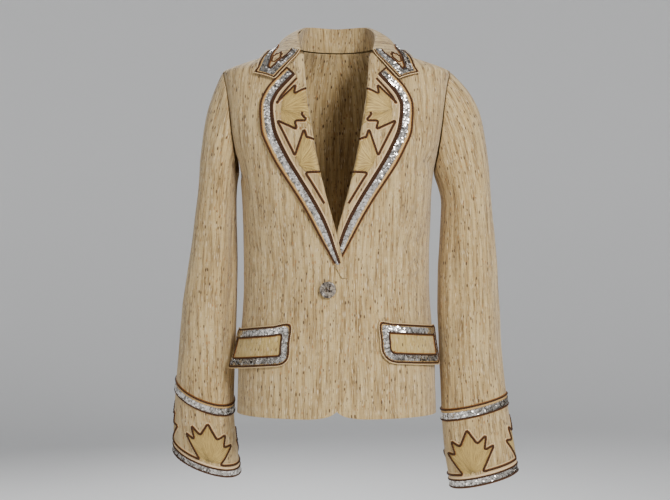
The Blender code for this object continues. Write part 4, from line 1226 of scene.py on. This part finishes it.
def cord_sections(node, seat):
    """The middle of a four-sided cord at each of its cross-sections, and the way up there, in order."""
    points, linked = corners_of(node)
    wide, tall = [], []
    for a, here in enumerate(points):
        for b in range(a + 1, len(points)):
            length = (points[b] - here).length
            if abs(length - CORD) < CLOSE:
                wide.append((a, b))
            elif abs(length - CORD * 0.8) < CLOSE:
                tall.append((a, b))
    groups, ups = [], []
    for a, b in wide:
        middle = (points[a] + points[b]) / 2
        for c, d in tall:
            if ((points[c] + points[d]) / 2 - middle).length < CLOSE:
                groups.append((a, b, c, d))
                up = (points[c] - points[d]).normalized()
                ups.append(up if up.dot(out_of(seat, middle)) > 0 else -up)
                break
    order, closed = in_order(groups, linked)
    middles = [(points[groups[i][0]] + points[groups[i][1]]) / 2 for i in order]
    return middles, [ups[i] for i in order], closed


ROLL_REACH = 0.014  # the longest way from a cord's end to the fold that it runs on to
FACES_FRONT = -0.55


def run_on(seat, place, up, ahead):
    """Places from a point on to the lapel's fold, if the fold is near."""
    found = []
    here = place
    while len(found) * CORD_STEP < ROLL_REACH:
        here = here + ahead * CORD_STEP
        hit, normal = cloth_under(seat, here, up)
        if hit is None or normal.y > FACES_FRONT:
            return found
        here = hit
        found.append((hit, normal))
    return []


def to_roll(seat, places, ups):
    """A lapel cord's line, run on at each end that stops just short of the fold."""
    for _ in (0, 1):
        ahead = (places[-1] - places[-5]).normalized()
        more = run_on(seat, places[-1], ups[-1], ahead)
        lift = (places[-1] - dropped(seat, places[-1], ups[-1])).length
        places = places + [hit + normal * lift for hit, normal in more]
        ups = ups + [normal for _, normal in more]
        places.reverse()
        ups.reverse()
    return places, ups


def couched(node, name, seat, width, reach=False):
    """A round twisted cord on the cloth, along the line that its solid holds."""
    middles, ups, closed = cord_sections(node, seat)
    rows = flow([[*middle, *up] for middle, up in zip(middles, ups)], CORD_STEP, closed)
    ups = [Vector(row[3:6]).normalized() for row in rows]
    places = [dropped(seat, Vector(row[:3]), up) + up * width * CORD_LIFT for row, up in zip(rows, ups)]
    if reach and not closed:
        places, ups = to_roll(seat, places, ups)
    aheads = []
    for i in range(len(places)):
        before, after = beside(i, len(places), closed)
        aheads.append((places[after] - places[before]).normalized())
    line = Line(places, ups, aheads, closed, CORD_STEP)
    piece = twisted(name, line, width)
    bed = line._replace(places=[place - up * width * BED_DROP for place, up in zip(places, ups)])
    halo = flattened(f"{name}_stitches", bed, width * HALO, rust_cord)
    pale = flattened(f"{name}_edging", bed, width * PALE_EDGING, cream_cord, HALO_RISE / 2)
    return join([piece, halo, pale], name), places, ups, closed


LEAF_FOOT_BACK = 0.0022  # how far behind its outline's ends a leaf's stitches begin
FILL_ROUNDS = 9
FILL_START = 0.04  # shares of the way from the foot to the cord
FILL_REACH = 0.93
CUSHION_BASE = 0.00035
CUSHION_RISE = 0.0006
STITCH_RIDGE = 0.00010
SILK = 0.0008


def fill_leaf(name, outline, ups, seat):
    """A leaf's stitches, as a low cushion of silk from the middle of its foot out to its cord."""
    middle = (outline[0] + outline[-1]) / 2
    centre = sum(outline, Vector()) / len(outline)
    foot = middle + (middle - centre).normalized() * LEAF_FOOT_BACK
    rounds = FILL_ROUNDS
    points, faces, flat = [], [], []
    for i, (edge, up) in enumerate(zip(outline, ups)):
        for k in range(rounds + 1):
            share = FILL_START + FILL_REACH * k / rounds
            place = dropped(seat, foot.lerp(edge, share), up)
            swell = math.sin(math.pi * min(share * 0.5 + 0.5, 1.0)) ** 0.5
            ridge = STITCH_RIDGE * (1 if i % 2 else -1)
            points.append(place + up * (CUSHION_BASE + CUSHION_RISE * swell + ridge))
    for i in range(len(outline) - 1):
        for k in range(rounds):
            a, b = i * (rounds + 1) + k, (i + 1) * (rounds + 1) + k
            low, high = k / rounds, (k + 1) / rounds
            faces.append((a, b, b + 1, a + 1))
            flat += [i, low, i + 1, low, i + 1, high, i, high]
    piece = mesh_piece(name, points, faces, leaf_silk, flat)
    turn = sum((face.normal.dot(ups[0]) for face in piece.data.polygons), 0.0)
    shape_with(piece, "SOLIDIFY", thickness=SILK, offset=-1 if turn > 0 else 1)
    return piece


CUFF_LEAF_START = 0.0058  # how far off the band beside it a leaf's outline begins
LAPEL_LEAF_START = 0.0080
LEAF_LEAST = 25  # the stations that a leaf's outline has at least


def leaf_runs(places, ups, rail, least, closed):
    """Splits a border's line into leaves: the stretches that stand off the band beside it."""
    tree = tree_of(rail)
    away = [tree.find(place)[2] for place in places]
    start = min(range(len(places)), key=lambda i: away[i]) if closed else 0
    runs, run = [], []
    for k in range(len(places)):
        i = (start + k) % len(places)
        if away[i] > least:
            run.append(i)
        elif run:
            runs.append(run)
            run = []
    if run:
        runs.append(run)
    return [([places[i] for i in run], [ups[i] for i in run]) for run in runs if len(run) > LEAF_LEAST]


def without_jumps(outline, ups, seat, longest=0.003):
    """An outline with points put in where the roll of the lapel cuts it short, out to the roll."""
    foot = (outline[0] + outline[-1]) / 2
    places, place_ups = [outline[0]], [ups[0]]
    for place, up in zip(outline[1:], ups[1:]):
        parts = max(math.ceil((place - places[-1]).length / longest), 1)
        start, start_up = places[-1], place_ups[-1]
        for part in range(1, parts + 1):
            between = start.lerp(place, part / parts)
            between_up = start_up.lerp(up, part / parts).normalized()
            if parts > 1:
                out = (between - foot).normalized()
                more = run_on(seat, dropped(seat, between, between_up), between_up, out)
                if more:
                    between, between_up = more[-1]
            places.append(between)
            place_ups.append(between_up)
    return places, place_ups


def fill_border(label, places, ups, rail, least, closed, seat):
    leaves = []
    for k, (outline, leaf_ups) in enumerate(leaf_runs(places, ups, rail, least, closed)):
        outline, leaf_ups = without_jumps(outline[::2] + outline[-1:], leaf_ups[::2] + leaf_ups[-1:], seat)
        leaves.append(fill_leaf(f"{label}_leaf_{k + 1}", outline, leaf_ups, seat))
    if leaves:
        trim(join(leaves, f"{label}_leaves"))


for word in SIDES:
    seat = seats[f"sleeve_{word}"]
    node = f"sleeve_leaf_cord_{word}"
    piece, places, ups, closed = couched(node, f"cuff_{word}_leaf_cord", seat, LEAF_CORD)
    trim(piece)
    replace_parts(piece, node)
    fill_border(f"cuff_{word}", places, ups, cuff_runs["hem", word].second, CUFF_LEAF_START, closed, seat)

    seat = seats[f"lapel_{word}"]
    nodes = sorted(name for name in frame["nodes"] if name.startswith(f"lapel_leaf_cord_{word}_"))
    places, ups, cords = [], [], []
    for node in nodes:
        piece, run, run_ups, _ = couched(node, f"{node}_round", seat, LEAF_CORD, reach=True)
        cords.append(piece)
        if run[0].z < run[-1].z and not places:
            run, run_ups = run[::-1], run_ups[::-1]
        if places and (run[0] - places[-1]).length > (run[-1] - places[-1]).length:
            run, run_ups = run[::-1], run_ups[::-1]
        places += run
        ups += run_ups
    border = join(cords, f"lapel_{word}_leaf_cord")
    trim(border)
    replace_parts(border, *nodes)
    fill_border(f"lapel_{word}", places, ups, lapel_runs[word].second, LAPEL_LEAF_START, False, seat)

    node = f"collar_leaf_cord_{word}"
    piece, *_ = couched(node, f"collar_{word}_leaf_cord", seats["collar"], COLLAR_LEAF_CORD)
    trim(piece)
    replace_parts(piece, node)


# Button
# One horn button of 25 mm closes the fronts, with a raised rim, a dished middle and four holes, sewn on with
# brown thread.


def make_horn(name):
    """Marbled grey-brown horn, with dark specks."""
    material, shader, wire = new_finish(name, 0.28)
    place = wire.add("ShaderNodeTexCoord", {}, {}, "Object")
    marbling = {"Vector": place, "Scale": 95.0, "Detail": 4.0, "Distortion": 1.8}
    swirl = wire.add("ShaderNodeTexNoise", {}, marbling)
    speck = wire.add("ShaderNodeTexNoise", {}, {"Vector": place, "Scale": 420.0, "Detail": 2.0})
    colour = swirl.within(0.40, 0.60).mixed((0.035, 0.025, 0.018, 1), (0.34, 0.285, 0.22, 1))
    colour = (speck.within(0.58, 0.72) * 0.6).mixed(colour, (0.05, 0.035, 0.025, 1))
    feed(shader, "Base Color", colour)
    feed(shader, "Roughness", swirl * 0.2 + 0.2)
    shader.inputs["Coat Weight"].default_value = 0.3
    return material


horn = make_horn("horn")


def plane_of(node):
    """A flat node's middle and the way it faces, towards the camera."""
    points = read_vectors(frame["nodes"][node].data, "co")
    middle = points.mean(axis=0)
    _, _, axes = np.linalg.svd(points - middle, full_matrices=False)
    facing = Vector(axes[2])
    return Vector(middle), facing if facing.y < 0 else -facing


def place_at(piece, middle, turn):
    """Turns and moves a piece's mesh, so that the object itself stays at the origin."""
    piece.data.transform(turn.to_matrix().to_4x4())
    piece.data.transform(Matrix.Translation(middle))


BUTTON = 0.0034
BUTTON_STEPS = ((0.0008, 0.0006), (0.0012, 0.0003), (0.0009, -0.0006), (0.0012, -0.0007), (0.0016, 0.0))
HOLE_RADIUS = 0.0014
HOLE_OUT = 0.0036  # from the button's middle to each hole's
THREAD = (0.0006, 0.0005)


def turned_disc(low, high):
    """The button without its holes: a disc with a raised rim and a dished middle."""
    bpy.ops.object.select_all(action="DESELECT")
    radius = (high.z - low.z) / 2
    bpy.ops.mesh.primitive_cylinder_add(vertices=64, radius=radius, depth=BUTTON, end_fill_type="NGON")
    piece = bpy.context.object
    piece.name = "horn_button"
    bpy.ops.object.mode_set(mode="EDIT")
    work = bmesh.from_edit_mesh(piece.data)
    for face in work.faces:
        face.select_set(face.normal.z > 0.9)
    bmesh.update_edit_mesh(piece.data)
    for thickness, depth in BUTTON_STEPS:
        bpy.ops.mesh.inset(thickness=thickness, depth=depth)
    bpy.ops.object.mode_set(mode="OBJECT")
    shape_with(piece, "BEVEL", width=0.0004, segments=2, limit_method="ANGLE", angle_limit=math.radians(40))
    return piece


def drill(piece, x, y):
    """A hole through the button."""
    bpy.ops.object.select_all(action="DESELECT")
    bpy.ops.mesh.primitive_cylinder_add(vertices=20, radius=HOLE_RADIUS, depth=0.02, location=(x, y, 0))
    bit = bpy.context.object
    shape_with(piece, "BOOLEAN", operation="DIFFERENCE", object=bit, solver="EXACT")
    bpy.data.objects.remove(bit)


def thread_between(k, corner):
    """A bundle of thread from one hole over to the next."""
    wide, tall = THREAD
    rings = []
    for step in range(13):
        share = step / 12
        rise = 0.0004 + 0.0014 * math.sin(math.pi * share) ** 0.4
        centre = Vector((corner if k else -corner, corner * (1 - 2 * share), rise))
        angles = [math.tau * n / 8 for n in range(8)]
        rings.append([centre + Vector((wide * math.cos(a), 0, tall * math.sin(a))) for a in angles])
    return loft(f"button_thread_{k}", rings, 0.0005, False, brown_cord)


def make_button():
    middle, facing = plane_of("button")
    turn = facing.to_track_quat("Z", "Y")
    piece = turned_disc(*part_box("button"))
    for k in range(4):
        angle = math.radians(45 + 90 * k)
        drill(piece, HOLE_OUT * math.cos(angle), HOLE_OUT * math.sin(angle))
    only(piece)
    bpy.ops.object.shade_smooth_by_angle(angle=math.radians(35))
    piece.data.materials.clear()
    piece.data.materials.append(horn)
    place_at(piece, middle, turn)
    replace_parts(trim(piece), "button")
    corner = HOLE_OUT * math.cos(math.radians(45))
    thread = join([thread_between(k, corner) for k in (0, 1)], "button_thread")
    place_at(thread, middle, turn)
    trim(thread)


make_button()
